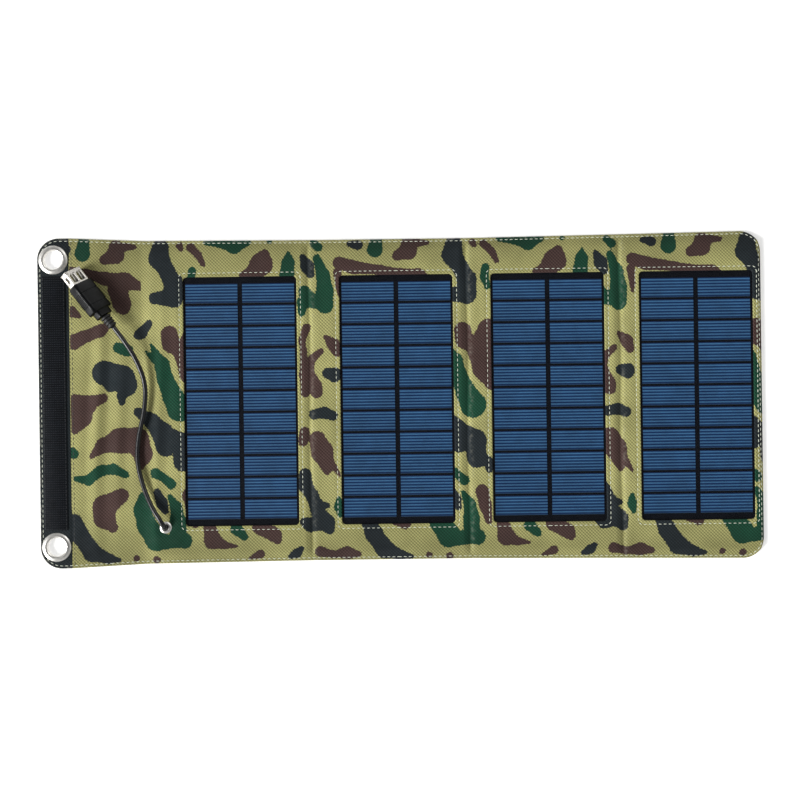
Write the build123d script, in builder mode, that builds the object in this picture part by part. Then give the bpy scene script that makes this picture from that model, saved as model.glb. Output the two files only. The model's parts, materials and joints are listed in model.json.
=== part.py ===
from build123d import *

import math
import os
from dataclasses import dataclass

# Fold-up solar charger, opened flat.  Four padded cloth sections, each with a window over a
# solar laminate, a closing flap with a hook strip and two eyelets, and a short output lead.
# Millimetres.  +X runs from the flap to the last section, +Y across, +Z out of the face.

# --- solar cells and the window that shows them ---------------------------------------------
CELL_COLUMNS = 2
CELL_ROWS = 11
CELL_WIDTH = 33.0
CELL_HEIGHT = 12.75
COLUMN_GAP = 3.0
ROW_GAP = 0.95
WINDOW_SIDE_BORDER = 1.5
WINDOW_END_BORDER = 4.1
WINDOW_CORNER_R = 2.5
LAMINATE_LAP = 3.0  # how far the laminate runs under the cloth around the window

# --- cloth lengths along X ------------------------------------------------------------------
# The margin before each window shrinks from the flap to the free end, so that it rolls up.
LEFT_MARGINS = (23.9, 19.4, 15.2, 12.4)
RIGHT_MARGINS = (7.7, 8.8, 9.8, 5.8)
FLAP_LENGTH = 48.5
BAND_LENGTH = 20.5
FOLD_GAP = 0.5
SEAM_GAP = 0.9

# Cloth outside the window's ends at the band's edge, band seam, flap fold, the three folds
# between sections and the free edge: the cloth is drawn in a little at the middle.
EDGE_MARGINS = (26.2, 26.0, 23.7, 22.9, 22.9, 24.0, 25.2)
CORNER_R = 13.5
HEM = 2.0  # sewn rim where front and back cloth meet
INNER_CLEARANCE = 0.2
MIN_FOAM = 1.5

# --- layers, from the surface that it lies on -------------------------------------------------
TRIM = 1.0  # loop strip and eyelet washers stand this far out of the back
CLOTH = 0.5
STIFFENER = 1.0
LAMINATE_BASE = 1.0
CELL_THICKNESS = 0.25
CLEAR_FILM = 0.45
BAND_CLOTH = 0.75

BACK_Z = TRIM
INSIDE_Z = BACK_Z + CLOTH
BASE_Z = INSIDE_Z + STIFFENER
CELL_Z = BASE_Z + LAMINATE_BASE
FILM_Z = CELL_Z + CELL_THICKNESS
LINING_Z = FILM_Z + CLEAR_FILM  # underside of the front cloth
FACE_Z = LINING_Z + CLOTH
BAND_FACE_Z = BACK_Z + 2 * BAND_CLOTH

# --- wiring inside -----------------------------------------------------------------------------
RIBBON_WIDTH = 2.2
RIBBON_THICKNESS = 0.2
TAB_WIDTH = 3.0
WIRE_WIDTH = 2.2
WIRE_THICKNESS = 0.4
WIRE_OFFSET = 8.0  # wire's centre line beyond the window's end
GROOVE_CLEARANCE = 0.4
WIRE_Z = CELL_Z - WIRE_THICKNESS
LEAD_WIDTH = 1.8
LEAD_Z = WIRE_Z - WIRE_THICKNESS
ANCHOR_SIZE = 6.8
ANCHOR_HEIGHT = 1.5

# --- closure -------------------------------------------------------------------------------------
EYELET_BORE_R = 5.9
EYELET_WALL = 0.6
EYELET_FLANGE_R = 9.3
EYELET_FLANGE_T = 1.0
EYELET_EDGE_R = 0.4
EYELET_INSET = 13.8  # eyelet's centre in from the cloth's long edge
EYELET_END = 0.4  # the barrel stops this far above the resting surface
RIVET_CLEARANCE = 0.05
STRIP_WIDTH = 15.0
STRIP_THICKNESS = 1.5
STRIP_TO_EYELET = 1.3
LOOP_WIDTH = 18.0
LOOP_MARGIN = 3.0
ROLL_SLACK = 8.2  # left free beside the rolled stack when the band lands on the loop strip

# --- output lead ---------------------------------------------------------------------------------
CORD_D = 3.0
CORD_CLEARANCE = 0.2
CABLE_EYELET_R = 4.0
CABLE_EYELET_WALL = 0.5
CABLE_EYELET_T = 0.7
CABLE_EXIT_X = 11.1  # from the flap's fold line
CABLE_EXIT_Y = 0.525  # past the end of the window
# Route of the lead, from the top of its anchor inside section 1 to the strain relief.
CORD_ROUTE = (
    (0.0, 0.0, 0.0),
    (0.0, 0.0, 5.6),
    (-2.5, 5.1, 7.3),
    (-7.9, 13.1, 5.6),
    (-13.9, 26.3, 2.6),
    (-17.7, 41.5, 1.4),
    (-16.7, 57.5, 1.6),
    (-12.1, 73.9, 3.4),
    (-10.8, 91.1, 4.4),
    (-16.3, 106.5, 6.0),
    (-23.5, 118.6, 7.6),
    (-30.3, 127.5, 7.6),
)
RADIUS_SHARE = 0.45  # of the shorter run beside a corner

# --- connector on the lead -----------------------------------------------------------------------
CONNECTOR_ROLL = 50.0
RELIEF_LENGTH = 8.5
RELIEF_R = 3.4
RELIEF_GROOVE = 0.7
RELIEF_GROOVES = 3
NECK_LENGTH = 4.0
NECK_SIZE = (11.0, 7.0)
NECK_CORNER_R = 2.2
BODY_LENGTH = 21.5
BODY_OVER_SHELL = (1.45, 1.4)  # plastic outside the shell at each side, and over and under it
BODY_CORNER_R = 2.5
BODY_EDGE_R = 0.8
BODY_WALL = 0.9
SHELL_SIZE = (13.1, 5.7)
SHELL_WALL = 0.35
SHELL_LENGTH = 14.0
SHELL_OUT = 9.7  # length of shell that stands out of the body
SHELL_FIT = 0.03
TONGUE_SIZE = (11.1, 1.84)
TONGUE_LENGTH = 8.4
TONGUE_RISE = 0.55
CONTACTS = 4
CONTACT_PITCH = 2.3
CONTACT_WIDTH = 1.0
CONTACT_THICKNESS = 0.2
CONTACT_LENGTH = 7.0
INSULATOR_LENGTH = 3.0
BOARD_THICKNESS = 1.0
BOARD_DROP = 1.6
BOARD_CLEARANCE = 0.3
CHIP_SIZE = (4.0, 5.0, 1.2)
CHIP_PLACE = (-3.4, 0.7)  # distance from the board's mid-line, share of the board's length
COIL_SIZE = (5.0, 5.0, 2.4)
COIL_PLACE = (3.2, 0.4)

BODY_SIZE = tuple(shell + 2 * over for shell, over in zip(SHELL_SIZE, BODY_OVER_SHELL))
WINDOW_WIDTH = CELL_COLUMNS * CELL_WIDTH + (CELL_COLUMNS - 1) * COLUMN_GAP + 2 * WINDOW_SIDE_BORDER
WINDOW_HEIGHT = CELL_ROWS * CELL_HEIGHT + (CELL_ROWS - 1) * ROW_GAP + 2 * WINDOW_END_BORDER
LAMINATE_WIDTH = WINDOW_WIDTH + 2 * LAMINATE_LAP
LAMINATE_HEIGHT = WINDOW_HEIGHT + 2 * LAMINATE_LAP
SECTION_LENGTHS = [left + WINDOW_WIDTH + right for left, right in zip(LEFT_MARGINS, RIGHT_MARGINS)]
OPEN_LENGTH = BAND_LENGTH + FLAP_LENGTH + sum(SECTION_LENGTHS)
HALF_WIDTHS = [WINDOW_HEIGHT / 2 + margin for margin in EDGE_MARGINS]


@dataclass(frozen=True)
class Span:
    """One length of the cloth between two lines across it."""

    start: float
    end: float
    half_start: float
    half_end: float
    free_start: bool = False
    free_end: bool = False

    def half_at(self, x: float) -> float:
        """Half the cloth's width at a place along the span."""
        share = (x - self.start) / (self.end - self.start)
        return self.half_start + share * (self.half_end - self.half_start)


def lay_out() -> list[Span]:
    """The spans in a row: band, flap, then the four sections, with a gap at each fold."""
    lengths = [BAND_LENGTH, FLAP_LENGTH, *SECTION_LENGTHS]
    gaps = [0.0, SEAM_GAP, *[FOLD_GAP] * len(SECTION_LENGTHS), 0.0]
    spans = []
    line = -OPEN_LENGTH / 2
    for i, length in enumerate(lengths):
        first, last = i == 0, i == len(lengths) - 1
        start = line + gaps[i] / 2
        end = line + length - gaps[i + 1] / 2
        spans.append(Span(start, end, HALF_WIDTHS[i], HALF_WIDTHS[i + 1], first, last))
        line += length
    return spans


BAND, FLAP, *SECTIONS = lay_out()
FLAP_FOLD_X = -OPEN_LENGTH / 2 + BAND_LENGTH + FLAP_LENGTH
FOLD_12_X = FLAP_FOLD_X + SECTION_LENGTHS[0]
WINDOW_X = [
    span.start - FOLD_GAP / 2 + left + WINDOW_WIDTH / 2 for span, left in zip(SECTIONS, LEFT_MARGINS)
]
WIRE_Y = WINDOW_HEIGHT / 2 + WIRE_OFFSET
STRIP_X = -OPEN_LENGTH / 2 + BAND_LENGTH / 2
EYELET_Y = BAND.half_at(STRIP_X) - EYELET_INSET
EXIT_X = FLAP_FOLD_X + CABLE_EXIT_X
EXIT_Y = -(WINDOW_HEIGHT / 2 + CABLE_EXIT_Y)
CORD_START = Vector(EXIT_X, EXIT_Y, INSIDE_Z + ANCHOR_HEIGHT)
CORD_POINTS = [CORD_START + Vector(*offset) for offset in CORD_ROUTE]


def keep(piece: BuildPart, name: str) -> None:
    """Label a finished piece and write its STEP file."""
    piece.part.label = name
    export_step(piece.part, f"parts/{name}.step")


def cloth_outline(sketch: BuildSketch, span: Span, inset: float = 0.0) -> None:
    """Draw a span's outline, drawn in all round by an inset, with its free corners rounded."""
    x0, x1 = span.start + inset, span.end - inset
    y0, y1 = span.half_start - inset, span.half_end - inset
    Polygon((x0, -y0), (x1, -y1), (x1, y1), (x0, y0), align=None)
    if span.free_start:
        fillet(sketch.vertices().group_by(Axis.X)[0], CORNER_R - inset)
    if span.free_end:
        fillet(sketch.vertices().group_by(Axis.X)[-1], CORNER_R - inset)


def wire_span(index: int) -> tuple[float, float]:
    """Where a section's wires start and end: at its folds, its lead or its last terminal."""
    span = SECTIONS[index]
    start = EXIT_X - LEAD_WIDTH / 2 if index == 0 else span.start
    end = WINDOW_X[index] + TAB_WIDTH / 2 if span.free_end else span.end
    return start, end


def wire_bars(start: float, end: float, width: float) -> None:
    """Draw a bar along each of a section's two wires."""
    with Locations(((start + end) / 2, WIRE_Y), ((start + end) / 2, -WIRE_Y)):
        Rectangle(end - start, width)


def make_front_cover(index: int) -> None:
    """Front cloth: a face with the window in it, and a rim that is sewn to the back cloth."""
    span = SECTIONS[index]
    start, end = wire_span(index)
    with BuildPart() as front_cover:
        with BuildSketch(Plane.XY.offset(INSIDE_Z)) as sketch:
            cloth_outline(sketch, span)
        extrude(amount=FACE_Z - INSIDE_Z)
        with BuildSketch(Plane.XY.offset(INSIDE_Z)) as sketch:
            cloth_outline(sketch, span, HEM)
        extrude(amount=LINING_Z - INSIDE_Z, mode=Mode.SUBTRACT)
        with BuildSketch(Plane.XY.offset(LINING_Z)):
            with Locations((WINDOW_X[index], 0)):
                RectangleRounded(WINDOW_WIDTH, WINDOW_HEIGHT, WINDOW_CORNER_R)
        extrude(amount=CLOTH, mode=Mode.SUBTRACT)
        with BuildSketch(Plane.XY.offset(WIRE_Z - INNER_CLEARANCE)):
            wire_bars(start if index == 0 else start - HEM, end, WIRE_WIDTH + 2 * INNER_CLEARANCE)
        extrude(amount=WIRE_THICKNESS + 2 * INNER_CLEARANCE, mode=Mode.SUBTRACT)
        if index == 0:
            with BuildSketch(Plane.XY.offset(LINING_Z)):
                with Locations((EXIT_X, EXIT_Y)):
                    Circle(CORD_D / 2 + CORD_CLEARANCE + CABLE_EYELET_WALL + RIVET_CLEARANCE)
            extrude(amount=CLOTH, mode=Mode.SUBTRACT)
    keep(front_cover, f"section_{index + 1}_front_cover")


def make_back_cover(index: int) -> None:
    """Back cloth of a section."""
    with BuildPart() as back_cover:
        with BuildSketch(Plane.XY.offset(BACK_Z)) as sketch:
            cloth_outline(sketch, SECTIONS[index])
        extrude(amount=CLOTH)
    keep(back_cover, f"section_{index + 1}_back_cover")


def make_foam_frame(index: int) -> None:
    """Foam that fills the section around the laminate, grooved for the wires."""
    span = SECTIONS[index]
    foam_start = span.start + HEM + INNER_CLEARANCE
    foam_end = span.end - HEM - INNER_CLEARANCE
    pocket_start = WINDOW_X[index] - LAMINATE_WIDTH / 2 - INNER_CLEARANCE
    pocket_end = WINDOW_X[index] + LAMINATE_WIDTH / 2 + INNER_CLEARANCE
    if pocket_start - foam_start < MIN_FOAM:
        pocket_start = foam_start - CLOTH
    if foam_end - pocket_end < MIN_FOAM:
        pocket_end = foam_end + CLOTH
    groove = WIRE_WIDTH + 2 * GROOVE_CLEARANCE
    start, end = wire_span(index)
    groove_z = WIRE_Z - RIVET_CLEARANCE
    with BuildPart() as foam_frame:
        with BuildSketch(Plane.XY.offset(INSIDE_Z)) as sketch:
            cloth_outline(sketch, span, HEM + INNER_CLEARANCE)
            with Locations(((pocket_start + pocket_end) / 2, 0)):
                Rectangle(
                    pocket_end - pocket_start,
                    LAMINATE_HEIGHT + 2 * INNER_CLEARANCE,
                    mode=Mode.SUBTRACT,
                )
        extrude(amount=LINING_Z - INSIDE_Z)
        with BuildSketch(Plane.XY.offset(groove_z)):
            wire_bars(start - GROOVE_CLEARANCE, end + GROOVE_CLEARANCE, groove)
            with Locations((WINDOW_X[index], 0)):
                Rectangle(TAB_WIDTH + 2 * GROOVE_CLEARANCE, 2 * WIRE_Y)
        extrude(amount=LINING_Z - groove_z, mode=Mode.SUBTRACT)
        if index == 0:
            with BuildSketch(Plane.XY.offset(LEAD_Z - RIVET_CLEARANCE)):
                with Locations((EXIT_X, 0)):
                    Rectangle(LEAD_WIDTH + 2 * GROOVE_CLEARANCE, 2 * WIRE_Y + groove)
            extrude(amount=LINING_Z - LEAD_Z + RIVET_CLEARANCE, mode=Mode.SUBTRACT)
            with BuildSketch(Plane.XY.offset(INSIDE_Z)):
                with Locations((EXIT_X, EXIT_Y)):
                    Circle(ANCHOR_SIZE / math.sqrt(2) + GROOVE_CLEARANCE)
            extrude(amount=LINING_Z - INSIDE_Z, mode=Mode.SUBTRACT)
    keep(foam_frame, f"section_{index + 1}_foam_frame")


def make_laminate(index: int) -> None:
    """Stiffener, laminate base, clear film and the two collector ribbons of a section."""
    layers = (
        ("stiffener_board", INSIDE_Z, STIFFENER),
        ("laminate_base", BASE_Z, LAMINATE_BASE),
        ("clear_film", FILM_Z, CLEAR_FILM),
    )
    for name, z, thickness in layers:
        with BuildPart() as sheet:
            with BuildSketch(Plane.XY.offset(z)):
                with Locations((WINDOW_X[index], 0)):
                    Rectangle(LAMINATE_WIDTH, LAMINATE_HEIGHT)
            extrude(amount=thickness)
        keep(sheet, f"section_{index + 1}_{name}")


def make_cell_strips(index: int) -> None:
    """The strips of solar cell, as separate solids on the laminate's base."""
    with BuildPart() as cell_strips:
        with BuildSketch(Plane.XY.offset(CELL_Z)):
            with Locations((WINDOW_X[index], 0)):
                pitch_x, pitch_y = CELL_WIDTH + COLUMN_GAP, CELL_HEIGHT + ROW_GAP
                with GridLocations(pitch_x, pitch_y, CELL_COLUMNS, CELL_ROWS):
                    Rectangle(CELL_WIDTH, CELL_HEIGHT)
        extrude(amount=CELL_THICKNESS)
    keep(cell_strips, f"section_{index + 1}_cell_strips")


def make_ribbons(index: int) -> None:
    """Collector ribbons across both ends of the cell columns, each with a tab on its wire."""
    bar_y = (WINDOW_HEIGHT + LAMINATE_LAP) / 2
    bar_length = CELL_COLUMNS * (CELL_WIDTH + COLUMN_GAP) - 2 * COLUMN_GAP
    tab_end = WIRE_Y + WIRE_WIDTH / 2
    with BuildPart() as ribbons:
        for side in (-1, 1):
            with BuildSketch(Plane.XY.offset(CELL_Z)):
                with Locations((WINDOW_X[index], side * bar_y)):
                    Rectangle(bar_length, RIBBON_WIDTH)
                with Locations((WINDOW_X[index], side * (bar_y + tab_end) / 2)):
                    Rectangle(TAB_WIDTH, tab_end - bar_y)
            extrude(amount=RIBBON_THICKNESS)
    keep(ribbons, f"section_{index + 1}_collector_ribbons")


def make_wires(index: int) -> None:
    """The positive and negative wires that run past a section's laminate to its folds."""
    start, end = wire_span(index)
    with BuildPart() as wires:
        with BuildSketch(Plane.XY.offset(WIRE_Z)):
            wire_bars(start, end, WIRE_WIDTH)
        extrude(amount=WIRE_THICKNESS)
    keep(wires, f"section_{index + 1}_wires")


def make_flap() -> None:
    """Three layers of the closing flap, between section 1 and the band."""
    for layer, name in enumerate(("flap_back_cloth", "flap_liner", "flap_front_cloth")):
        with BuildPart() as cloth:
            with BuildSketch(Plane.XY.offset(BACK_Z + layer * CLOTH)) as sketch:
                cloth_outline(sketch, FLAP, INNER_CLEARANCE if name == "flap_liner" else 0.0)
            extrude(amount=CLOTH)
        keep(cloth, name)


def make_band() -> None:
    """Two layers of the closure band, each with the eyelets' holes."""
    hole_r = EYELET_BORE_R + EYELET_WALL + RIVET_CLEARANCE
    for layer, name in enumerate(("band_back_cloth", "band_front_cloth")):
        with BuildPart() as cloth:
            with BuildSketch(Plane.XY.offset(BACK_Z + layer * BAND_CLOTH)) as sketch:
                cloth_outline(sketch, BAND)
                with Locations((STRIP_X, EYELET_Y), (STRIP_X, -EYELET_Y)):
                    Circle(hole_r, mode=Mode.SUBTRACT)
            extrude(amount=BAND_CLOTH)
        keep(cloth, name)


def make_strips() -> None:
    """The hook strip on the band, and the loop strip that it lands on behind section 2."""
    strip_half = EYELET_Y - EYELET_FLANGE_R - STRIP_TO_EYELET
    with BuildPart() as hook_strip:
        with BuildSketch(Plane.XY.offset(BAND_FACE_Z)):
            with Locations((STRIP_X, 0)):
                Rectangle(STRIP_WIDTH, 2 * strip_half)
        extrude(amount=STRIP_THICKNESS)
    keep(hook_strip, "hook_strip")

    landing_x = 2 * FLAP_FOLD_X - STRIP_X
    loop_x = 2 * FOLD_12_X - landing_x + ROLL_SLACK
    loop_x = max(loop_x, SECTIONS[1].start + LOOP_MARGIN + LOOP_WIDTH / 2)
    with BuildPart() as loop_strip:
        with BuildSketch():
            with Locations((loop_x, 0)):
                Rectangle(LOOP_WIDTH, 2 * strip_half)
        extrude(amount=TRIM)
    keep(loop_strip, "loop_strip")


def make_eyelet(side: int, name: str) -> None:
    """A flanged eyelet through the band, and the washer that it is set over."""
    centre = (STRIP_X, side * EYELET_Y)
    barrel_r = EYELET_BORE_R + EYELET_WALL
    with BuildPart() as eyelet:
        with BuildSketch(Plane.XY.offset(EYELET_END)):
            with Locations(centre):
                Circle(barrel_r)
        extrude(amount=BAND_FACE_Z - EYELET_END)
        with BuildSketch(Plane.XY.offset(BAND_FACE_Z)):
            with Locations(centre):
                Circle(EYELET_FLANGE_R)
        extrude(amount=EYELET_FLANGE_T)
        fillet(eyelet.edges().group_by(Axis.Z)[-1], EYELET_EDGE_R)
        with BuildSketch(Plane.XY.offset(EYELET_END)):
            with Locations(centre):
                Circle(EYELET_BORE_R)
        extrude(amount=BAND_FACE_Z + EYELET_FLANGE_T - EYELET_END, mode=Mode.SUBTRACT)
    keep(eyelet, f"{name}_eyelet")

    with BuildPart() as washer:
        with BuildSketch():
            with Locations(centre):
                Circle(EYELET_FLANGE_R)
                Circle(barrel_r + RIVET_CLEARANCE, mode=Mode.SUBTRACT)
        extrude(amount=TRIM)
    keep(washer, f"{name}_eyelet_washer")


def make_cable_exit() -> None:
    """The small eyelet that the lead comes out of, its washer, and the anchor under it."""
    bore_r = CORD_D / 2 + CORD_CLEARANCE
    barrel_r = bore_r + CABLE_EYELET_WALL
    barrel_z = INSIDE_Z + ANCHOR_HEIGHT + INNER_CLEARANCE
    with BuildPart() as cable_eyelet:
        with BuildSketch(Plane.XY.offset(barrel_z)):
            with Locations((EXIT_X, EXIT_Y)):
                Circle(barrel_r)
                Circle(bore_r, mode=Mode.SUBTRACT)
        extrude(amount=FACE_Z - barrel_z)
        with BuildSketch(Plane.XY.offset(FACE_Z)):
            with Locations((EXIT_X, EXIT_Y)):
                Circle(CABLE_EYELET_R)
                Circle(bore_r, mode=Mode.SUBTRACT)
        extrude(amount=CABLE_EYELET_T)
    keep(cable_eyelet, "cable_eyelet")

    with BuildPart() as washer:
        with BuildSketch(Plane.XY.offset(LINING_Z - CLOTH)):
            with Locations((EXIT_X, EXIT_Y)):
                Circle(CABLE_EYELET_R)
                Circle(barrel_r + RIVET_CLEARANCE, mode=Mode.SUBTRACT)
        extrude(amount=CLOTH)
    keep(washer, "cable_eyelet_washer")

    with BuildPart() as anchor:
        with BuildSketch(Plane.XY.offset(INSIDE_Z)):
            with Locations((EXIT_X, EXIT_Y)):
                Rectangle(ANCHOR_SIZE, ANCHOR_SIZE)
        extrude(amount=ANCHOR_HEIGHT)
    keep(anchor, "cord_anchor")


def make_output_lead() -> None:
    """Two flat conductors that join section 1's wires to the anchor."""
    wire_edge = WIRE_Y + WIRE_WIDTH / 2
    ends = ((EXIT_Y + ANCHOR_SIZE / 2, wire_edge), (-wire_edge, EXIT_Y - ANCHOR_SIZE / 2))
    with BuildPart() as output_lead:
        with BuildSketch(Plane.XY.offset(LEAD_Z)):
            for low, high in ends:
                with Locations((EXIT_X, (low + high) / 2)):
                    Rectangle(LEAD_WIDTH, high - low)
        extrude(amount=WIRE_THICKNESS)
    keep(output_lead, "output_lead")


def route_radii(points: list[Vector]) -> list[float]:
    """The largest round bend that each corner of a route has room for."""
    radii = []
    for before, here, after in zip(points, points[1:], points[2:]):
        run_in, run_out = here - before, after - here
        half_turn = math.radians(run_in.get_angle(run_out)) / 2
        shorter = min(run_in.length, run_out.length)
        radii.append(RADIUS_SHARE * shorter / math.tan(half_turn))
    return radii


def make_cord() -> None:
    """The output lead's cord, swept along its route."""
    radii = route_radii(CORD_POINTS)
    print("cord radii", [round(r, 1) for r in radii])
    with BuildPart() as cord:
        with BuildLine() as route:
            FilletPolyline(*CORD_POINTS, radius=radii)
        start = Plane(origin=CORD_POINTS[0], z_dir=CORD_POINTS[1] - CORD_POINTS[0])
        with BuildSketch(start):
            Circle(CORD_D / 2)
        sweep(path=route.wires()[0])
    length = route.wires()[0].length
    section = math.pi * CORD_D**2 / 4
    print("cord length", round(length, 2), "volume share", round(cord.part.volume / (section * length), 5))
    keep(cord, "cord")


def connector_plane() -> Plane:
    """Plane across the cord's end: +Z along the connector to its mouth, +Y its top face."""
    along = (CORD_POINTS[-1] - CORD_POINTS[-2]).normalized()
    right = along.cross(Vector(0, 0, 1)).normalized()
    roll = math.radians(CONNECTOR_ROLL)
    across = Vector(0, 0, 1) * math.sin(roll) - right * math.cos(roll)
    return Plane(origin=CORD_POINTS[-1], x_dir=across, z_dir=along)


def make_strain_relief(cross: Plane) -> None:
    """Ribbed sleeve where the cord enters the connector."""
    pitch = RELIEF_LENGTH / (RELIEF_GROOVES + 1)
    with BuildPart() as strain_relief:
        with BuildSketch(cross):
            Circle(RELIEF_R)
        extrude(amount=RELIEF_LENGTH)
        for i in range(RELIEF_GROOVES):
            with BuildSketch(cross.offset((i + 1) * pitch - RELIEF_GROOVE)):
                Circle(RELIEF_R)
                Circle(RELIEF_R - RELIEF_GROOVE, mode=Mode.SUBTRACT)
            extrude(amount=RELIEF_GROOVE, mode=Mode.SUBTRACT)
    keep(strain_relief, "strain_relief")


def make_overmold(cross: Plane, body_z: float, cavity_z: float, shell_z: float) -> None:
    """Moulded body with its narrow neck, hollow for the board and the shell."""
    cavity = (BODY_SIZE[0] - 2 * BODY_WALL, BODY_SIZE[1] - 2 * BODY_WALL)
    mouth = (SHELL_SIZE[0] + 2 * SHELL_FIT, SHELL_SIZE[1] + 2 * SHELL_FIT)
    with BuildPart() as overmold:
        with BuildSketch(cross.offset(body_z)):
            RectangleRounded(*BODY_SIZE, BODY_CORNER_R)
        extrude(amount=BODY_LENGTH)
        along = Axis(cross.origin, cross.z_dir)
        fillet(overmold.edges().group_by(along)[0] + overmold.edges().group_by(along)[-1], BODY_EDGE_R)
        with BuildSketch(cross.offset(RELIEF_LENGTH)):
            RectangleRounded(*NECK_SIZE, NECK_CORNER_R)
        extrude(amount=NECK_LENGTH)
        with BuildSketch(cross.offset(cavity_z)):
            Rectangle(*cavity)
        extrude(amount=shell_z - cavity_z, mode=Mode.SUBTRACT)
        with BuildSketch(cross.offset(shell_z)):
            Rectangle(*mouth)
        extrude(amount=body_z + BODY_LENGTH - shell_z, mode=Mode.SUBTRACT)
    keep(overmold, "connector_overmold")


def make_socket(cross: Plane, shell_z: float) -> None:
    """Metal shell, insulator with its tongue, and the four contacts on the tongue."""
    inner = (SHELL_SIZE[0] - 2 * SHELL_WALL, SHELL_SIZE[1] - 2 * SHELL_WALL)
    with BuildPart() as shell:
        with BuildSketch(cross.offset(shell_z)):
            Rectangle(*SHELL_SIZE)
            Rectangle(*inner, mode=Mode.SUBTRACT)
        extrude(amount=SHELL_LENGTH)
    keep(shell, "connector_shell")

    with BuildPart() as insulator:
        with BuildSketch(cross.offset(shell_z)):
            Rectangle(inner[0] - 2 * SHELL_FIT, inner[1] - 2 * SHELL_FIT)
        extrude(amount=INSULATOR_LENGTH)
        with BuildSketch(cross.offset(shell_z + INSULATOR_LENGTH)):
            with Locations((0, TONGUE_RISE)):
                Rectangle(*TONGUE_SIZE)
        extrude(amount=TONGUE_LENGTH)
    keep(insulator, "connector_insulator")

    contact_y = TONGUE_RISE - (TONGUE_SIZE[1] + CONTACT_THICKNESS) / 2
    with BuildPart() as contacts:
        with BuildSketch(cross.offset(shell_z + INSULATOR_LENGTH)):
            with Locations((0, contact_y)):
                with GridLocations(CONTACT_PITCH, 1, CONTACTS, 1):
                    Rectangle(CONTACT_WIDTH, CONTACT_THICKNESS)
        extrude(amount=CONTACT_LENGTH)
    keep(contacts, "connector_contacts")


def make_regulator(cross: Plane, cavity_z: float, shell_z: float) -> None:
    """Circuit board behind the socket, with a regulator chip and its coil."""
    board_width = BODY_SIZE[0] - 2 * BODY_WALL - 2 * BOARD_CLEARANCE
    board_length = shell_z - cavity_z - 2 * BOARD_CLEARANCE
    with BuildPart() as board:
        with BuildSketch(cross.offset(cavity_z + BOARD_CLEARANCE)):
            with Locations((0, -BOARD_DROP)):
                Rectangle(board_width, BOARD_THICKNESS)
        extrude(amount=board_length)
    keep(board, "connector_board")

    top_y = BOARD_THICKNESS / 2 - BOARD_DROP
    with BuildPart() as parts_on_board:
        for size, place in ((CHIP_SIZE, CHIP_PLACE), (COIL_SIZE, COIL_PLACE)):
            width, length, height = size
            across, share = place
            middle = cavity_z + BOARD_CLEARANCE + share * board_length
            with BuildSketch(cross.offset(middle - length / 2)):
                with Locations((across, top_y + height / 2)):
                    Rectangle(width, height)
            extrude(amount=length)
    keep(parts_on_board, "regulator_parts")


def make_connector() -> None:
    """The socket at the end of the lead, from its strain relief to its mouth."""
    cross = connector_plane()
    body_z = RELIEF_LENGTH + NECK_LENGTH
    cavity_z = body_z + 2 * BODY_WALL
    shell_z = body_z + BODY_LENGTH + SHELL_OUT - SHELL_LENGTH
    make_strain_relief(cross)
    make_overmold(cross, body_z, cavity_z, shell_z)
    make_socket(cross, shell_z)
    make_regulator(cross, cavity_z, shell_z)


def main() -> None:
    """Build every piece."""
    os.makedirs("parts", exist_ok=True)
    for index in range(len(SECTIONS)):
        make_front_cover(index)
        make_back_cover(index)
        make_foam_frame(index)
        make_laminate(index)
        make_cell_strips(index)
        make_ribbons(index)
        make_wires(index)
    make_flap()
    make_band()
    make_strips()
    make_eyelet(1, "upper")
    make_eyelet(-1, "lower")
    make_cable_exit()
    make_output_lead()
    make_cord()
    make_connector()


main()
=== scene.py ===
"""Fold-up solar charger, opened flat: cloth, print, stitching, cells, fittings and output lead.

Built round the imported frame.  Sizes are in millimetres, and meshes are written in metres.
+X runs from the closure band to the last section, +Y across, +Z out of the face.
"""

from __future__ import annotations

import json
import logging
import math
from dataclasses import dataclass, field
from enum import Enum

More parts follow.
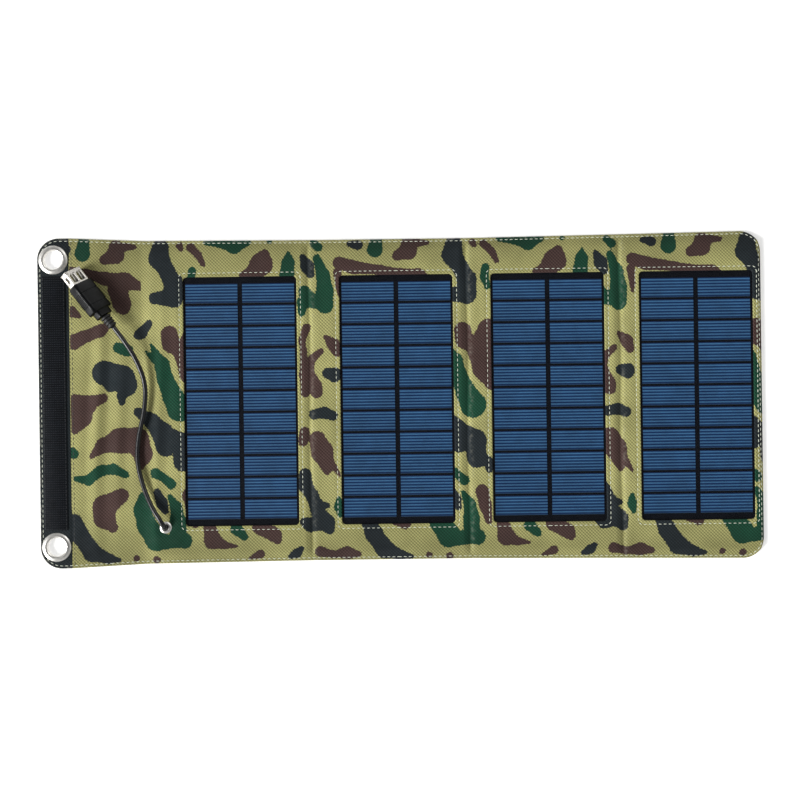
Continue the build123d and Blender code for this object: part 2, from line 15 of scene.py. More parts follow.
import bmesh
import bpy
import numpy as np
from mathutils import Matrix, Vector

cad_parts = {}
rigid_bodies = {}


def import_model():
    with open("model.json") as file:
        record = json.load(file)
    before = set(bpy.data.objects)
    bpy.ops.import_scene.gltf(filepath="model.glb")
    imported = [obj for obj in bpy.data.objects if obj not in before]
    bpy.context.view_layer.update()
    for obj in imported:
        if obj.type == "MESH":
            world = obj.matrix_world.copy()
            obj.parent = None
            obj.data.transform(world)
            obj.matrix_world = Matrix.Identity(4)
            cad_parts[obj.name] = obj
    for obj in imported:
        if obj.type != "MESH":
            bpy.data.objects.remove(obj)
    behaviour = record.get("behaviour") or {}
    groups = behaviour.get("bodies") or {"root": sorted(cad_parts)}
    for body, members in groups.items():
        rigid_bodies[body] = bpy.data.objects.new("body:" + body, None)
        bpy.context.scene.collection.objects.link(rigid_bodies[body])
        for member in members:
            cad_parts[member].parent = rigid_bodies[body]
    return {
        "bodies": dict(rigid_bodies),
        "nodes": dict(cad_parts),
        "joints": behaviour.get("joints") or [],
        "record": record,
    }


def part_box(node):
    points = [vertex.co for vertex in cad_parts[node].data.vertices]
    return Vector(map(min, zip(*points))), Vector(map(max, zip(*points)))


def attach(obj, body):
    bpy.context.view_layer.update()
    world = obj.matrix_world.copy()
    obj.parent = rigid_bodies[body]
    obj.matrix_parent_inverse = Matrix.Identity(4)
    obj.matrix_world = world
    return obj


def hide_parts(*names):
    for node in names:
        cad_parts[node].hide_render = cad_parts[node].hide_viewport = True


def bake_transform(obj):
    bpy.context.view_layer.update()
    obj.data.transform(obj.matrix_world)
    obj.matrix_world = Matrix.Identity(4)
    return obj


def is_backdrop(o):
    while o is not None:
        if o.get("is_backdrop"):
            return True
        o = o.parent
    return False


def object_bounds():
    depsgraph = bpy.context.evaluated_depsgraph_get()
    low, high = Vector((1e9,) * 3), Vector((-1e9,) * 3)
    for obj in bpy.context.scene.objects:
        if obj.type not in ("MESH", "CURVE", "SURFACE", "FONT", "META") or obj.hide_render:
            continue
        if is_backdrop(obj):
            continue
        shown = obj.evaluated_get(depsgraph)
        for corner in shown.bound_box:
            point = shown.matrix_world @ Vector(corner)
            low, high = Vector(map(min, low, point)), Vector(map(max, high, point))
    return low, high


MM = 0.001
LOG = logging.getLogger("charger")
Array = np.ndarray
Piece = bpy.types.Object
Material = bpy.types.Material
Output = bpy.types.NodeSocket
Colour = tuple[float, float, float]
Chain = tuple[tuple[float, float, float], ...]

# Points closer than this many metres count as one.
SAME_PLACE = 1e-7
# Slack in millimetres for places that should be equal, and a floor under what is divided by.
SLACK = 1e-6
# How finely a length is sampled where it is measured in small steps.
SAMPLES = 400
SECTIONS = (1, 2, 3, 4)
# The distance between rows of cells, in millimetres.
ROW_PITCH = 13.7


# --- small tools for meshes ---


def add_mesh(
    name: str, points: Array, faces: list, finish: Material, outward: bool = True
) -> Piece:
    """Make a smooth-shaded piece.

    Args:
        name: The piece's name.
        points: Its points in millimetres.
        faces: Lists of point numbers.
        finish: Its material.
        outward: Whether to merge doubles and turn the faces of this closed shape outwards.

    Returns:
        The new object, at the origin.
    """
    mesh = bpy.data.meshes.new(name)
    mesh.from_pydata((np.asarray(points, float) * MM).tolist(), [], [list(f) for f in faces])
    if outward:
        work = bmesh.new()
        work.from_mesh(mesh)
        bmesh.ops.remove_doubles(work, verts=work.verts, dist=SAME_PLACE)
        bmesh.ops.recalc_face_normals(work, faces=work.faces)
        work.to_mesh(mesh)
        work.free()
    mesh.polygons.foreach_set("use_smooth", [True] * len(mesh.polygons))
    mesh.materials.append(finish)
    return add_object(name, mesh)


def sharpen(piece: Piece, angle: float = 35.0) -> Piece:
    """Mark edges that turn more than an angle in degrees as sharp, and return the piece."""
    work = bmesh.new()
    work.from_mesh(piece.data)
    for edge in work.edges:
        if len(edge.link_faces) == 2:
            edge.smooth = edge.calc_face_angle(0.0) < math.radians(angle)
    work.to_mesh(piece.data)
    work.free()
    return piece


def round_loop(width: float, height: float, corner: float, steps: int = 5) -> Array:
    """Points round a rectangle with rounded corners, centred, anticlockwise.

    Args:
        width: Its size along the first axis.
        height: Its size along the second axis.
        corner: The corners' radius.
        steps: Parts in each corner.

    Returns:
        An array of 4 * (steps + 1) points.
    """
    points = []
    for turn, (sx, sy) in enumerate(((1, 1), (-1, 1), (-1, -1), (1, -1))):
        for i in range(steps + 1):
            angle = math.radians(90 * (turn + i / steps))
            x = sx * (width / 2 - corner) + corner * math.cos(angle)
            y = sy * (height / 2 - corner) + corner * math.sin(angle)
            points.append((x, y))
    return np.array(points)


def loft(rings: list[Array], closed: bool = False) -> tuple[Array, list]:
    """Skin a row of loops that have as many points each.

    Args:
        rings: The loops, each an (n, 3) array.
        closed: Whether the last loop joins the first; if not, both ends are capped.

    Returns:
        The points and the faces.
    """
    count = len(rings[0])
    faces = []
    for r in range(len(rings) if closed else len(rings) - 1):
        near, far = r * count, (r + 1) % len(rings) * count
        for i in range(count):
            j = (i + 1) % count
            faces.append((near + i, near + j, far + j, far + i))
    if not closed:
        faces.append(tuple(range(count)))
        faces.append(tuple((len(rings) - 1) * count + i for i in range(count)))
    return np.vstack(rings), faces


def lathe(profile: list[tuple[float, float]], turns: int = 72) -> tuple[Array, list]:
    """Turn a closed profile of (radius, height) points about the Z axis."""
    rings = []
    for i in range(turns):
        angle = 2 * math.pi * i / turns
        rings.append(np.array([(r * math.cos(angle), r * math.sin(angle), z) for r, z in profile]))
    return loft(rings, closed=True)


def graded(stops: list[float], fine: float, coarse: float, growth: float) -> Array:
    """Grid lines that lie on every stop, fine beside the stops and coarser between them.

    Args:
        stops: Places that need a line.
        fine: Spacing beside a stop.
        coarse: Widest spacing.
        growth: How much the spacing grows for each millimetre away from a stop.

    Returns:
        The sorted places of the lines.
    """
    lines = [stops[0]]
    for start, end in zip(stops[:-1], stops[1:]):
        along = np.linspace(start, end, SAMPLES)
        nearest = np.minimum(along - start, end - along)
        density = 1 / np.minimum(coarse, fine + growth * nearest)
        mass = np.concatenate([[0], np.cumsum((density[1:] + density[:-1]) / 2 * np.diff(along))])
        count = max(1, round(mass[-1]))
        lines.extend(np.interp(np.arange(1, count + 1) / count * mass[-1], mass, along))
    return np.array(lines)


def smooth_step(value: Array | float, low: float, high: float) -> Array:
    """Go smoothly from 0 at low to 1 at high."""
    share = np.clip((np.asarray(value, float) - low) / (high - low), 0, 1)
    return share * share * (3 - 2 * share)


def hump(value: Array, width: float) -> Array:
    """A rounded hump of height 1 at 0."""
    return np.exp(-((value / width) ** 2))


def quarter_round(distance: Array, radius: float) -> Array:
    """Rise from 0 at an edge to 1 at a radius inside it, as a quarter circle does."""
    return np.sqrt(1 - (1 - np.clip(distance / radius, 0, 1)) ** 2)


def middle_of(node: str) -> Array:
    """The middle of a node's box along X and Y, in millimetres."""
    low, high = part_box(node)
    return np.array([low.x + high.x, low.y + high.y]) / 2 / MM


def add_object(name: str, data: bpy.types.ID) -> Piece:
    """Put an object with this data into the scene."""
    made = bpy.data.objects.new(name, data)
    bpy.context.scene.collection.objects.link(made)
    return made


# --- finishes ---


class Shader:
    """A material's node tree, with short words for what the finishes need."""

    # The part of its range that noise mostly keeps to.
    NOISE_LOW = 0.3
    NOISE_HIGH = 0.7

    def __init__(self, name: str) -> None:
        """Start a material with a plain surface shader."""
        self.material = bpy.data.materials.new(name)
        self.material.use_nodes = True
        self.tree = self.material.node_tree
        self.surface = self.tree.nodes["Principled BSDF"]
        self.coords = self.node("TexCoord").outputs["Object"]

    def node(self, kind: str, **settings: object) -> bpy.types.Node:
        """Add a shader node of a kind and set its properties."""
        made = self.tree.nodes.new(f"ShaderNode{kind}")
        for name, value in settings.items():
            setattr(made, name, value)
        return made

    def feed(self, socket: Output, value: object) -> None:
        """Link an output to a socket, or write a plain value on it."""
        if isinstance(value, Output):
            self.tree.links.new(value, socket)
        else:
            socket.default_value = value

    def maths(self, operation: str, *values: object) -> Output:
        """Apply one operation of arithmetic to sockets or numbers."""
        made = self.node("Math", operation=operation)
        for socket, value in zip(made.inputs, values):
            self.feed(socket, value)
        return made.outputs[0]

    def product(self, *values: object) -> Output:
        """Multiply two or more sockets or numbers."""
        total = values[0]
        for value in values[1:]:
            total = self.maths("MULTIPLY", total, value)
        return total

    def span(
        self, value: object, low: float, high: float, to_low: float = 0.0, to_high: float = 1.0
    ) -> Output:
        """Map a value from one range to another, clamped."""
        made = self.node("MapRange")
        for socket, number in zip(made.inputs, (value, low, high, to_low, to_high)):
            self.feed(socket, number)
        return made.outputs[0]

    def mix(self, factor: object, first: object, second: object) -> Output:
        """Mix two colours."""
        made = self.node("Mix", data_type="RGBA")
        self.feed(made.inputs[0], factor)
        for socket, value in ((made.inputs[6], first), (made.inputs[7], second)):
            self.feed(socket, (*value, 1.0) if isinstance(value, tuple) else value)
        return made.outputs[2]

    def shade(self, colour: object, factor: object) -> Output:
        """Multiply a colour by a number."""
        made = self.node("VectorMath", operation="SCALE")
        self.feed(made.inputs[0], colour)
        self.feed(made.inputs["Scale"], factor)
        return made.outputs[0]

    def noise(self, size: float, detail: float = 2.0) -> Output:
        """Noise whose spots are about a size in millimetres."""
        made = self.node("TexNoise")
        self.feed(made.inputs["Vector"], self.coords)
        made.inputs["Scale"].default_value = 1 / (size * MM)
        made.inputs["Detail"].default_value = detail
        return made.outputs[0]

    def uneven(
        self, size: float, middle: float, spread: float, detail: float = 3.0
    ) -> Output:
        """A value that noise of a size in millimetres moves by a spread about a middle."""
        noise = self.noise(size, detail)
        return self.span(noise, self.NOISE_LOW, self.NOISE_HIGH, middle - spread, middle + spread)

    def xyz(self) -> tuple[Output, ...]:
        """The three coordinates, in metres."""
        made = self.node("SeparateXYZ")
        self.feed(made.inputs[0], self.coords)
        return tuple(made.outputs)

    def attribute(self, name: str) -> Output:
        """A number that is stored on the piece's points."""
        return self.node("Attribute", attribute_name=name).outputs["Fac"]

    def relief(self, height: object, depth: float, strength: float = 1.0) -> None:
        """Bump the surface by a height between 0 and 1, of a depth in millimetres."""
        made = self.node("Bump")
        made.inputs["Distance"].default_value = depth * MM
        made.inputs["Strength"].default_value = strength
        self.feed(made.inputs["Height"], height)
        self.feed(self.surface.inputs["Normal"], made.outputs[0])

    def set(self, **values: object) -> None:
        """Write values on the surface shader's own sockets, with _ for spaces in their names."""
        for name, value in values.items():
            self.feed(self.surface.inputs[name.replace("_", " ")], value)


class Ink(Enum):
    """The print's colours, in the order in which they are laid on the cloth."""

    BROWN = "brown"
    GREEN = "green"
    CHARCOAL = "charcoal"


INK_COLOURS: dict[Ink, Colour] = {
    Ink.BROWN: (0.074, 0.042, 0.037),
    Ink.GREEN: (0.009, 0.062, 0.033),
    Ink.CHARCOAL: (0.018, 0.025, 0.029),
}


@dataclass(frozen=True)
class PrintedCloth:
    """Coated woven cloth with the print on it; lengths are in millimetres."""

    name: str
    ground: Colour
    yarn: float = 2.1
    # How much of the weave each of its two slants makes up.
    rising: float = 0.32
    falling: float = 0.18
    weave_depth: float = 0.16
    # How ragged and how soft the edges of the print are.
    ragged: float = 0.35
    edge: float = 0.12
    # Painted shade: the cloth is darker towards the long edges, where the padded edges turn away from the
    # light.
    deep: float = 0.72
    edge_shade_from: float = 70.0
    edge_shade_to: float = 96.0
    worn_colour: Colour = (0.62, 0.6, 0.5)
    most_worn: float = 0.35

    def weave(self, shader: Shader) -> Output:
        """Crossed diagonal ribs, between 0 and 1."""
        x, y, _ = shader.xyz()
        turn = 2 * math.pi / (self.yarn * MM)
        ribs = []
        for operation, share in (("ADD", self.rising), ("SUBTRACT", self.falling)):
            slanted = shader.product(shader.maths(operation, x, y), turn)
            ribs.append(shader.product(shader.maths("SINE", slanted), share))
        return shader.maths("ADD", shader.maths("ADD", *ribs), 0.5)

    def inked(self, shader: Shader) -> object:
        """The cloth's colour under its inks."""
        colour: object = self.ground
        wobble = shader.uneven(1.1, 0.0, self.ragged, 1.0)
        for ink in Ink:
            distance = shader.maths("ADD", shader.attribute(f"print_{ink.value}"), wobble)
            cover = shader.span(distance, -self.edge, self.edge, 1.0, 0.0)
            colour = shader.mix(cover, colour, INK_COLOURS[ink])
        return colour

    def tone(self, shader: Shader, weave: Output) -> Output:
        """How light the cloth is: patches, flecks, threads and painted shade towards the long edges."""
        patches = shader.uneven(30.0, 1.0, 0.16)
        flecks = shader.span(shader.noise(0.55, 1.0), 0.25, 0.75, 0.86, 1.14)
        threads = shader.span(weave, 0.1, 0.9, 0.5, 1.3)
        # painted shade: the cloth darkens towards its long edges, standing in for edges turned away from
        # the light
        off_middle = shader.maths("ABSOLUTE", shader.xyz()[1])
        edge_shade_tone = shader.span(off_middle, self.edge_shade_from * MM, self.edge_shade_to * MM, 1.0, self.deep)
        return shader.product(patches, flecks, threads, edge_shade_tone)

    def make(self) -> Material:
        """Build the material, whose texture is laid out on the flat cloth and bends with it."""
        shader = Shader(self.name)
        flat = shader.node("Attribute", attribute_name="cloth_place")
        shader.coords = flat.outputs["Vector"]
        weave = self.weave(shader)
        colour = shader.shade(self.inked(shader), self.tone(shader, weave))
        rubbed = shader.span(shader.noise(2.5), 0.45, 0.7)
        worn = shader.product(shader.attribute("wear"), rubbed, self.most_worn)
        shader.set(
            Base_Color=shader.mix(worn, colour, self.worn_colour),
            Roughness=shader.uneven(5.0, 0.77, 0.09, 2.0),
            Sheen_Weight=0.03,
            Sheen_Roughness=0.5,
            Specular_IOR_Level=0.18,
        )
        fuzz = shader.product(shader.noise(0.5), 0.35)
        shader.relief(shader.maths("ADD", weave, fuzz), self.weave_depth, 0.8)
        return shader.material


@dataclass(frozen=True)
class PlainFinish:
    """A finish of one colour, uneven in tone and roughness, with a fine surface texture."""

    name: str
    colour: Colour
    roughness: float
    metallic: float = 0.0
    # The size of the texture and its depth, in millimetres.
    grain: float = 0.6
    depth: float = 0.03
    tone: float = 0.1
    sheen: float = 0.0
    specular: float = 0.5
    # The patches are this many times the size of the grain.
    tone_patch: float = 12.0
    gloss_patch: float = 5.0
    gloss_spread: float = 0.15

    def make(self) -> Material:
        """Build the material."""
        shader = Shader(self.name)
        patches = shader.uneven(self.grain * self.tone_patch, 1.0, self.tone)
        flecks = shader.uneven(self.grain, 1.0, self.tone, 2.0)
        spread = self.roughness * self.gloss_spread
        shader.set(
            Base_Color=shader.shade((*self.colour,), shader.product(patches, flecks)),
            Roughness=shader.uneven(self.grain * self.gloss_patch, self.roughness, spread),
            Metallic=self.metallic,
            Sheen_Weight=self.sheen,
            Specular_IOR_Level=self.specular,
        )
        shader.relief(shader.noise(self.grain), self.depth)
        return shader.material


@dataclass(frozen=True)
class CellFinish:
    """Blue cells with fine pale grid lines along each strip; lengths are in millimetres."""

    row_pitch: float
    line_pitch: float = 1.9
    # Where the lines start, as a share of their pitch, and how deep they are.
    line_start: float = 0.35
    line_depth: float = 0.03
    # Each strip goes dark from this far off its middle.
    rim: float = 5.95
    rim_width: float = 0.15
    rim_tone: float = 0.12
    dark: Colour = (0.0022, 0.021, 0.082)
    pale: Colour = (0.04, 0.135, 0.27)

    def make(self) -> Material:
        """Build the material."""
        shader = Shader("cell_blue")
        rows = shader.maths("DIVIDE", shader.xyz()[1], self.row_pitch * MM)
        row = shader.maths("FRACT", shader.maths("ADD", rows, 0.5))
        off_middle = shader.maths("SUBTRACT", row, 0.5)
        turns = shader.product(off_middle, self.row_pitch / self.line_pitch)
        turns = shader.maths("ADD", turns, self.line_start)
        wave = shader.maths("COSINE", shader.product(turns, 2 * math.pi))
        line = shader.span(wave, -0.5, 0.95)
        rim = shader.span(
            shader.maths("ABSOLUTE", off_middle),
            self.rim / self.row_pitch,
            (self.rim + self.rim_width) / self.row_pitch,
            1.0,
            self.rim_tone,
        )
        across = shader.span(row, 0.0, 1.0, 0.88, 1.12)
        tone = shader.product(across, rim, shader.uneven(9.0, 1.0, 0.12))
        shader.set(
            Base_Color=shader.shade(shader.mix(line, self.dark, self.pale), tone),
            Roughness=shader.span(line, 0.0, 1.0, 0.3, 0.45),
            Coat_Weight=0.2,
        )
        shader.relief(line, self.line_depth)
        return shader.material


@dataclass(frozen=True)
class ClearFilm:
    """Clear plastic that shows what is under it and shines at a slant."""

    name: str = "clear_window"
    roughness: float = 0.06
    # The size of its ripples and their depth, in millimetres.
    ripple: float = 7.0
    depth: float = 0.03
    # The shine seen straight on, what a slant adds to it, and how late that comes.
    least_shine: float = 0.01
    slant_shine: float = 0.9
    slant_power: float = 5.0

    def make(self) -> Material:
        """Build the material."""
        shader = Shader(self.name)
        gloss = shader.node("BsdfGlossy")
        gloss.inputs["Roughness"].default_value = self.roughness
        bump = shader.node("Bump")
        bump.inputs["Distance"].default_value = self.depth * MM
        shader.feed(bump.inputs["Height"], shader.noise(self.ripple, 1.0))
        shader.feed(gloss.inputs["Normal"], bump.outputs[0])
        clear = shader.node("BsdfTransparent")
        slant = shader.node("LayerWeight").outputs["Facing"]
        added = shader.product(shader.maths("POWER", slant, self.slant_power), self.slant_shine)
        blend = shader.node("MixShader")
        shader.feed(blend.inputs[0], shader.maths("ADD", added, self.least_shine))
        shader.feed(blend.inputs[1], clear.outputs[0])
        shader.feed(blend.inputs[2], gloss.outputs[0])
        output = shader.tree.nodes["Material Output"]
        shader.tree.nodes.remove(shader.surface)
        shader.feed(output.inputs["Surface"], blend.outputs[0])
        return shader.material


class Finishes:
    """Every finish of the charger, made once."""

    def __init__(self, row_pitch: float) -> None:
        """Make the materials; row_pitch is the distance between rows of cells."""
        self.front = PrintedCloth("printed_cloth_face", (0.41, 0.395, 0.155)).make()
        self.back = PrintedCloth("printed_cloth_back", (0.37, 0.355, 0.16)).make()
        self.cell = CellFinish(row_pitch).make()
        self.film = ClearFilm().make()
        thread = {"roughness": 0.6, "grain": 0.4, "sheen": 0.3}
        self.thread = PlainFinish("pale_thread", (0.78, 0.82, 0.68), **thread).make()
        self.dark_thread = PlainFinish("dark_thread", (0.035, 0.038, 0.04), **thread).make()
        self.foam = PlainFinish("grey_foam", (0.5, 0.5, 0.48), 0.95, grain=0.9, depth=0.3).make()
        self.liner = PlainFinish("felt_liner", (0.45, 0.44, 0.4), 0.95, grain=0.7, depth=0.2).make()
        self.board = PlainFinish("grey_board", (0.5, 0.48, 0.43), 0.85, grain=1.5).make()
        self.laminate = PlainFinish(
            "black_laminate", (0.003, 0.004, 0.007), 0.4, tone=0.2, specular=0.15
        ).make()
        self.nylon = PlainFinish(
            "black_nylon", (0.005, 0.007, 0.01), 0.7, grain=0.5, tone=0.25, specular=0.2
        ).make()
        self.hooks = PlainFinish(
            "hook_nylon", (0.032, 0.036, 0.045), 0.5, grain=0.5, specular=0.35
        ).make()
        self.plastic = PlainFinish(
            "black_moulding", (0.002, 0.0025, 0.003), 0.32, grain=0.35, depth=0.02, specular=0.2
        ).make()
        self.jacket = PlainFinish(
            "black_jacket", (0.01, 0.0105, 0.012), 0.3, grain=0.5, depth=0.015
        ).make()
        self.rubber = PlainFinish("black_rubber", (0.012, 0.012, 0.013), 0.6, grain=0.4).make()
        self.tongue = PlainFinish("white_insulator", (0.8, 0.8, 0.78), 0.4, grain=0.8).make()
        self.circuit = PlainFinish("green_board", (0.02, 0.13, 0.06), 0.4, grain=1.2).make()
        metal = 1.0
        self.tin = PlainFinish("tinned_copper", (0.7, 0.7, 0.68), 0.35, metal, grain=0.8).make()
        self.brass = PlainFinish("gold_contacts", (0.83, 0.64, 0.28), 0.25, metal).make()
        self.nickel = PlainFinish(
            "bright_nickel", (0.95, 0.93, 0.88), 0.34, metal, grain=1.6, depth=0.01
        ).make()
        self.steel = PlainFinish(
            "plated_shell", (0.6, 0.575, 0.53), 0.26, metal, grain=1.4, depth=0.01
        ).make()


# --- layout ---


@dataclass
class Layout:
    """Where the cloth's lines, windows and fittings lie, read from the frame."""

    frame: dict
    # Half of the cloth's width at its free end, band seam, flap fold, three folds and last edge.
    half_widths: tuple[float, ...] = (105.175, 104.975, 102.675, 101.875, 101.875, 102.975, 104.175)
    corner: float = 13.5
    window_corner: float = 2.5
    # How far the cloth laps over each window's film.
    lap: float = 3.0
    lines: list[float] = field(init=False)
    windows: list[tuple[float, float]] = field(init=False)
    window_half: float = field(init=False)

    def __post_init__(self) -> None:
        """Read the lines across the cloth and the windows."""
        joints = {joint["name"]: joint for joint in self.frame["joints"]}
        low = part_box("band_back_cloth")[0].x / MM
        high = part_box("section_4_back_cover")[1].x / MM
        names = ("band_peel", "flap_fold", "fold_1_2", "fold_2_3", "fold_3_4")
        self.lines = [low, *[joints[name]["pos_m"][0] / MM for name in names], high]
        self.windows = []
        for number in SECTIONS:
            low_corner, high_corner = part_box(f"section_{number}_clear_film")
            self.windows.append((low_corner.x / MM + self.lap, high_corner.x / MM - self.lap))
            self.window_half = high_corner.y / MM - self.lap

    @property
    def start(self) -> float:
        """The free end of the closure band."""
        return self.lines[0]

    @property
    def end(self) -> float:
        """The last section's free edge."""
        return self.lines[-1]

    @property
    def band_seam(self) -> float:
        """Where the band is sewn to the flap."""
        return self.lines[1]

    @property
    def flap_fold(self) -> float:
        """Where the flap folds over the first section."""
        return self.lines[2]

    @property
    def folds(self) -> list[float]:
        """The three folds between sections."""
        return self.lines[3:6]

    def side(self, x: Array) -> Array:
        """Half the cloth's width before its corners are rounded."""
        return np.interp(x, self.lines, self.half_widths)

    def half(self, x: Array, inset: float = 0.0) -> Array:
        """Half the cloth's width, with rounded corners and drawn in by an inset."""
        corner = self.corner - inset
        reach = np.minimum(x - self.start, self.end - x) - inset
        into = np.clip(corner - reach, 0, corner)
        return self.side(x) - inset - corner + np.sqrt(corner**2 - into**2)

    def edge_distance(self, x: Array, y: Array) -> Array:
        """Distance from the cloth's outline, inwards."""
        along = np.minimum(x - self.start, self.end - x)
        across = self.side(x) - np.abs(y)
        corner = self.corner - np.hypot(self.corner - along, self.corner - across)
        rounded = (along < self.corner) & (across < self.corner)
        return np.where(rounded, corner, np.minimum(along, across))

    def window_distance(self, x: Array, y: Array) -> Array:
        """Distance from the nearest window's edge, outwards."""
        nearest = np.full(np.shape(x), np.inf)
        for low, high in self.windows:
            qx = np.abs(x - (low + high) / 2) - (high - low) / 2 + self.window_corner
            qy = np.abs(y) - self.window_half + self.window_corner
            outside = np.hypot(np.maximum(qx, 0), np.maximum(qy, 0))
            inside = np.minimum(np.maximum(qx, qy), 0)
            nearest = np.minimum(nearest, outside + inside - self.window_corner)
        return nearest


# --- the print ---


# The blots of each ink: chains of discs, each its x, y and radius.
BROWN_BLOTS: tuple[Chain, ...] = (
    ((-168, 99, 1.7), (-180, 99, 3.9), (-180, 94, 5.5), (-187, 91, 3.3)),
    ((-224, 87, 3.9), (-215, 84, 4.2), (-198, 82, 3), (-187, 79, 4), (-174, 77, 5.5), (-165, 74, 3)),
    ((-179, 72, 6.3), (-176, 62, 5.7), (-175, 59, 3)),
    ((-225, 81, 2.8), (-224, 71, 1.8), (-224, 66, 0.8)), ((-139, 99, 2.4), (-138, 97, 1.7)),
    ((-132, 98, 2.8), (-127, 93, 2.2), (-124, 87, 1.8)),
    ((-146, 43, 5.5), (-145, 37, 5.5), (-141, 32, 3.5)),
    ((-130, 44, 6.3), (-134, 31, 9), (-131, 19, 9), (-128, 10, 5)), ((-208, 58, 3.9), (-203, 55, 1.2)),
    ((-207, 39, 5.1), (-201, 42, 3.9), (-190, 46, 3.9), (-187, 48, 2.8)),
    ((-206, -1, 7), (-198, 0, 4.7), (-189, 3, 3)),
    ((-198, -2, 5), (-206, -5, 6.5), (-202, -9, 5.8), (-207, -16, 3.6)),
    ((-197, -34, 1.6), (-189, -27, 4.7), (-178, -24, 8), (-168, -24, 8), (-164, -33, 6.2), (-166, -40, 3)),
    ((-178, -59, 4.7), (-189, -66, 7.3), (-189, -73, 6.9), (-184, -79, 3.6)), ((-169, -99, 2.2),),
    ((-156, -100, 2.5),), ((-135, -59, 4.4), (-133, -68, 3.8), (-131, -78, 2.2)),
    ((-122, -80, 4), (-120, -88, 5.5), (-113, -91, 2.5), (-105, -92, 1)),
    ((-85, 93, 3.2), (-87, 87, 7.3), (-92, 81, 5.3), (-99, 80, 2.4)),
    ((-90, -80, 5), (-81, -85, 4.5), (-79, -88, 3)), ((-97, -100, 1), (-90, -97, 3)),
    ((-59, 46, 2.8), (-62, 38, 2.1), (-61, 30, 2.1), (-61, 16, 2.8), (-60, 5, 3.2)),
    ((-50, 31, 2.1), (-56, 26, 2.5), (-57, 19, 2.1), (-54, 9, 4.2), (-53, 5, 3.9)),
    ((-47, 40, 1.6), (-42, 35, 3.9), (-40, 30, 2.8)), ((-61, -20, 3.3), (-62, -26, 3.3)),
    ((-53, -25, 5.5), (-50, -33, 6.9), (-47, -41, 4.7), (-47, -46, 1.8)),
    ((-43, -42, 2.2), (-39, -48, 0.9)),
    ((-52, -96, 3.6), (-44, -98, 2.2), (-35, -97, 4), (-28, -98, 2.2)),
    ((-118, 62, 3), (-108, 58, 6), (-99, 63, 4.5), (-92, 60, 2)),
    ((-88, 36, 4), (-84, 27, 7), (-75, 24, 4)),
    ((-116, -22, 4), (-107, -27, 7), (-104, -37, 5), (-96, -40, 2.5)),
    ((-84, -50, 3), (-78, -57, 6), (-80, -66, 3)),
)
GREEN_BLOTS: tuple[Chain, ...] = (
    ((-200, 103, 3.5), (-201, 95, 5.1)), ((-131, 83, 2.6), (-132, 77, 2.6), (-130, 71, 2.2)),
    ((-179, 35, 3.5), (-173, 33, 3.9)),
    ((-158, 37, 0.9), (-155, 31, 2.4), (-151, 24, 4.7), (-149, 15, 5.1), (-144, 3, 6.5), (-140, -4, 8.5)),
    ((-162, 33, 0.6), (-156, 27, 2.4)), ((-209, -30, 2.2), (-208, -32, 3.3)),
    ((-207, -48, 1.8), (-199, -49, 3.3), (-191, -43, 3.3), (-183, -42, 3.3), (-175, -46, 2.3)),
    ((-156, -45, 3.5), (-152, -47, 2.5), (-146, -52, 3.3)),
    ((-165, -59, 2.2), (-165, -68, 5.5), (-162, -78, 6.5), (-156, -87, 7.3), (-150, -89, 4.4)),
    ((-150, -89, 4.4), (-142, -87, 5.1), (-138, -88, 5)),
    ((-147, -60, 1.8), (-143, -67, 3.7), (-142, -76, 5), (-142, -86, 5.5)),
    ((-54, 100, 2.5), (-51, 97, 3)), ((-52, 90, 2.5), (-48, 79, 4.2), (-47, 69, 5.3), (-47, 60, 5.3)),
    ((-60, 69, 3.9), (-56, 63, 4.2), (-48, 62, 5.7)), ((-61, 62, 4.2), (-62, 55, 2.1)),
    ((-40, -63, 1.8), (-40, -68, 2.9), (-39, -73, 1.8)),
    ((-122, 101, 2), (-113, 100, 2.5), (-104, 98, 4.5), (-96, 101, 2.5)), ((-82, 101, 1.8),),
    ((-70, 94, 1), (-70, 88, 3.9), (-71, 80, 4.9)), ((-105, -81, 4), (-100, -86, 2.5)),
    ((-80, 66, 2.5), (-76, 58, 5), (-79, 50, 3)),
    ((-116, 38, 3), (-108, 30, 6), (-109, 19, 4), (-103, 13, 2)),
    ((-88, -18, 5), (-79, -24, 6.5), (-72, -34, 3)),
    ((-118, -58, 3), (-108, -62, 5.5), (-98, -60, 2.5)),
)
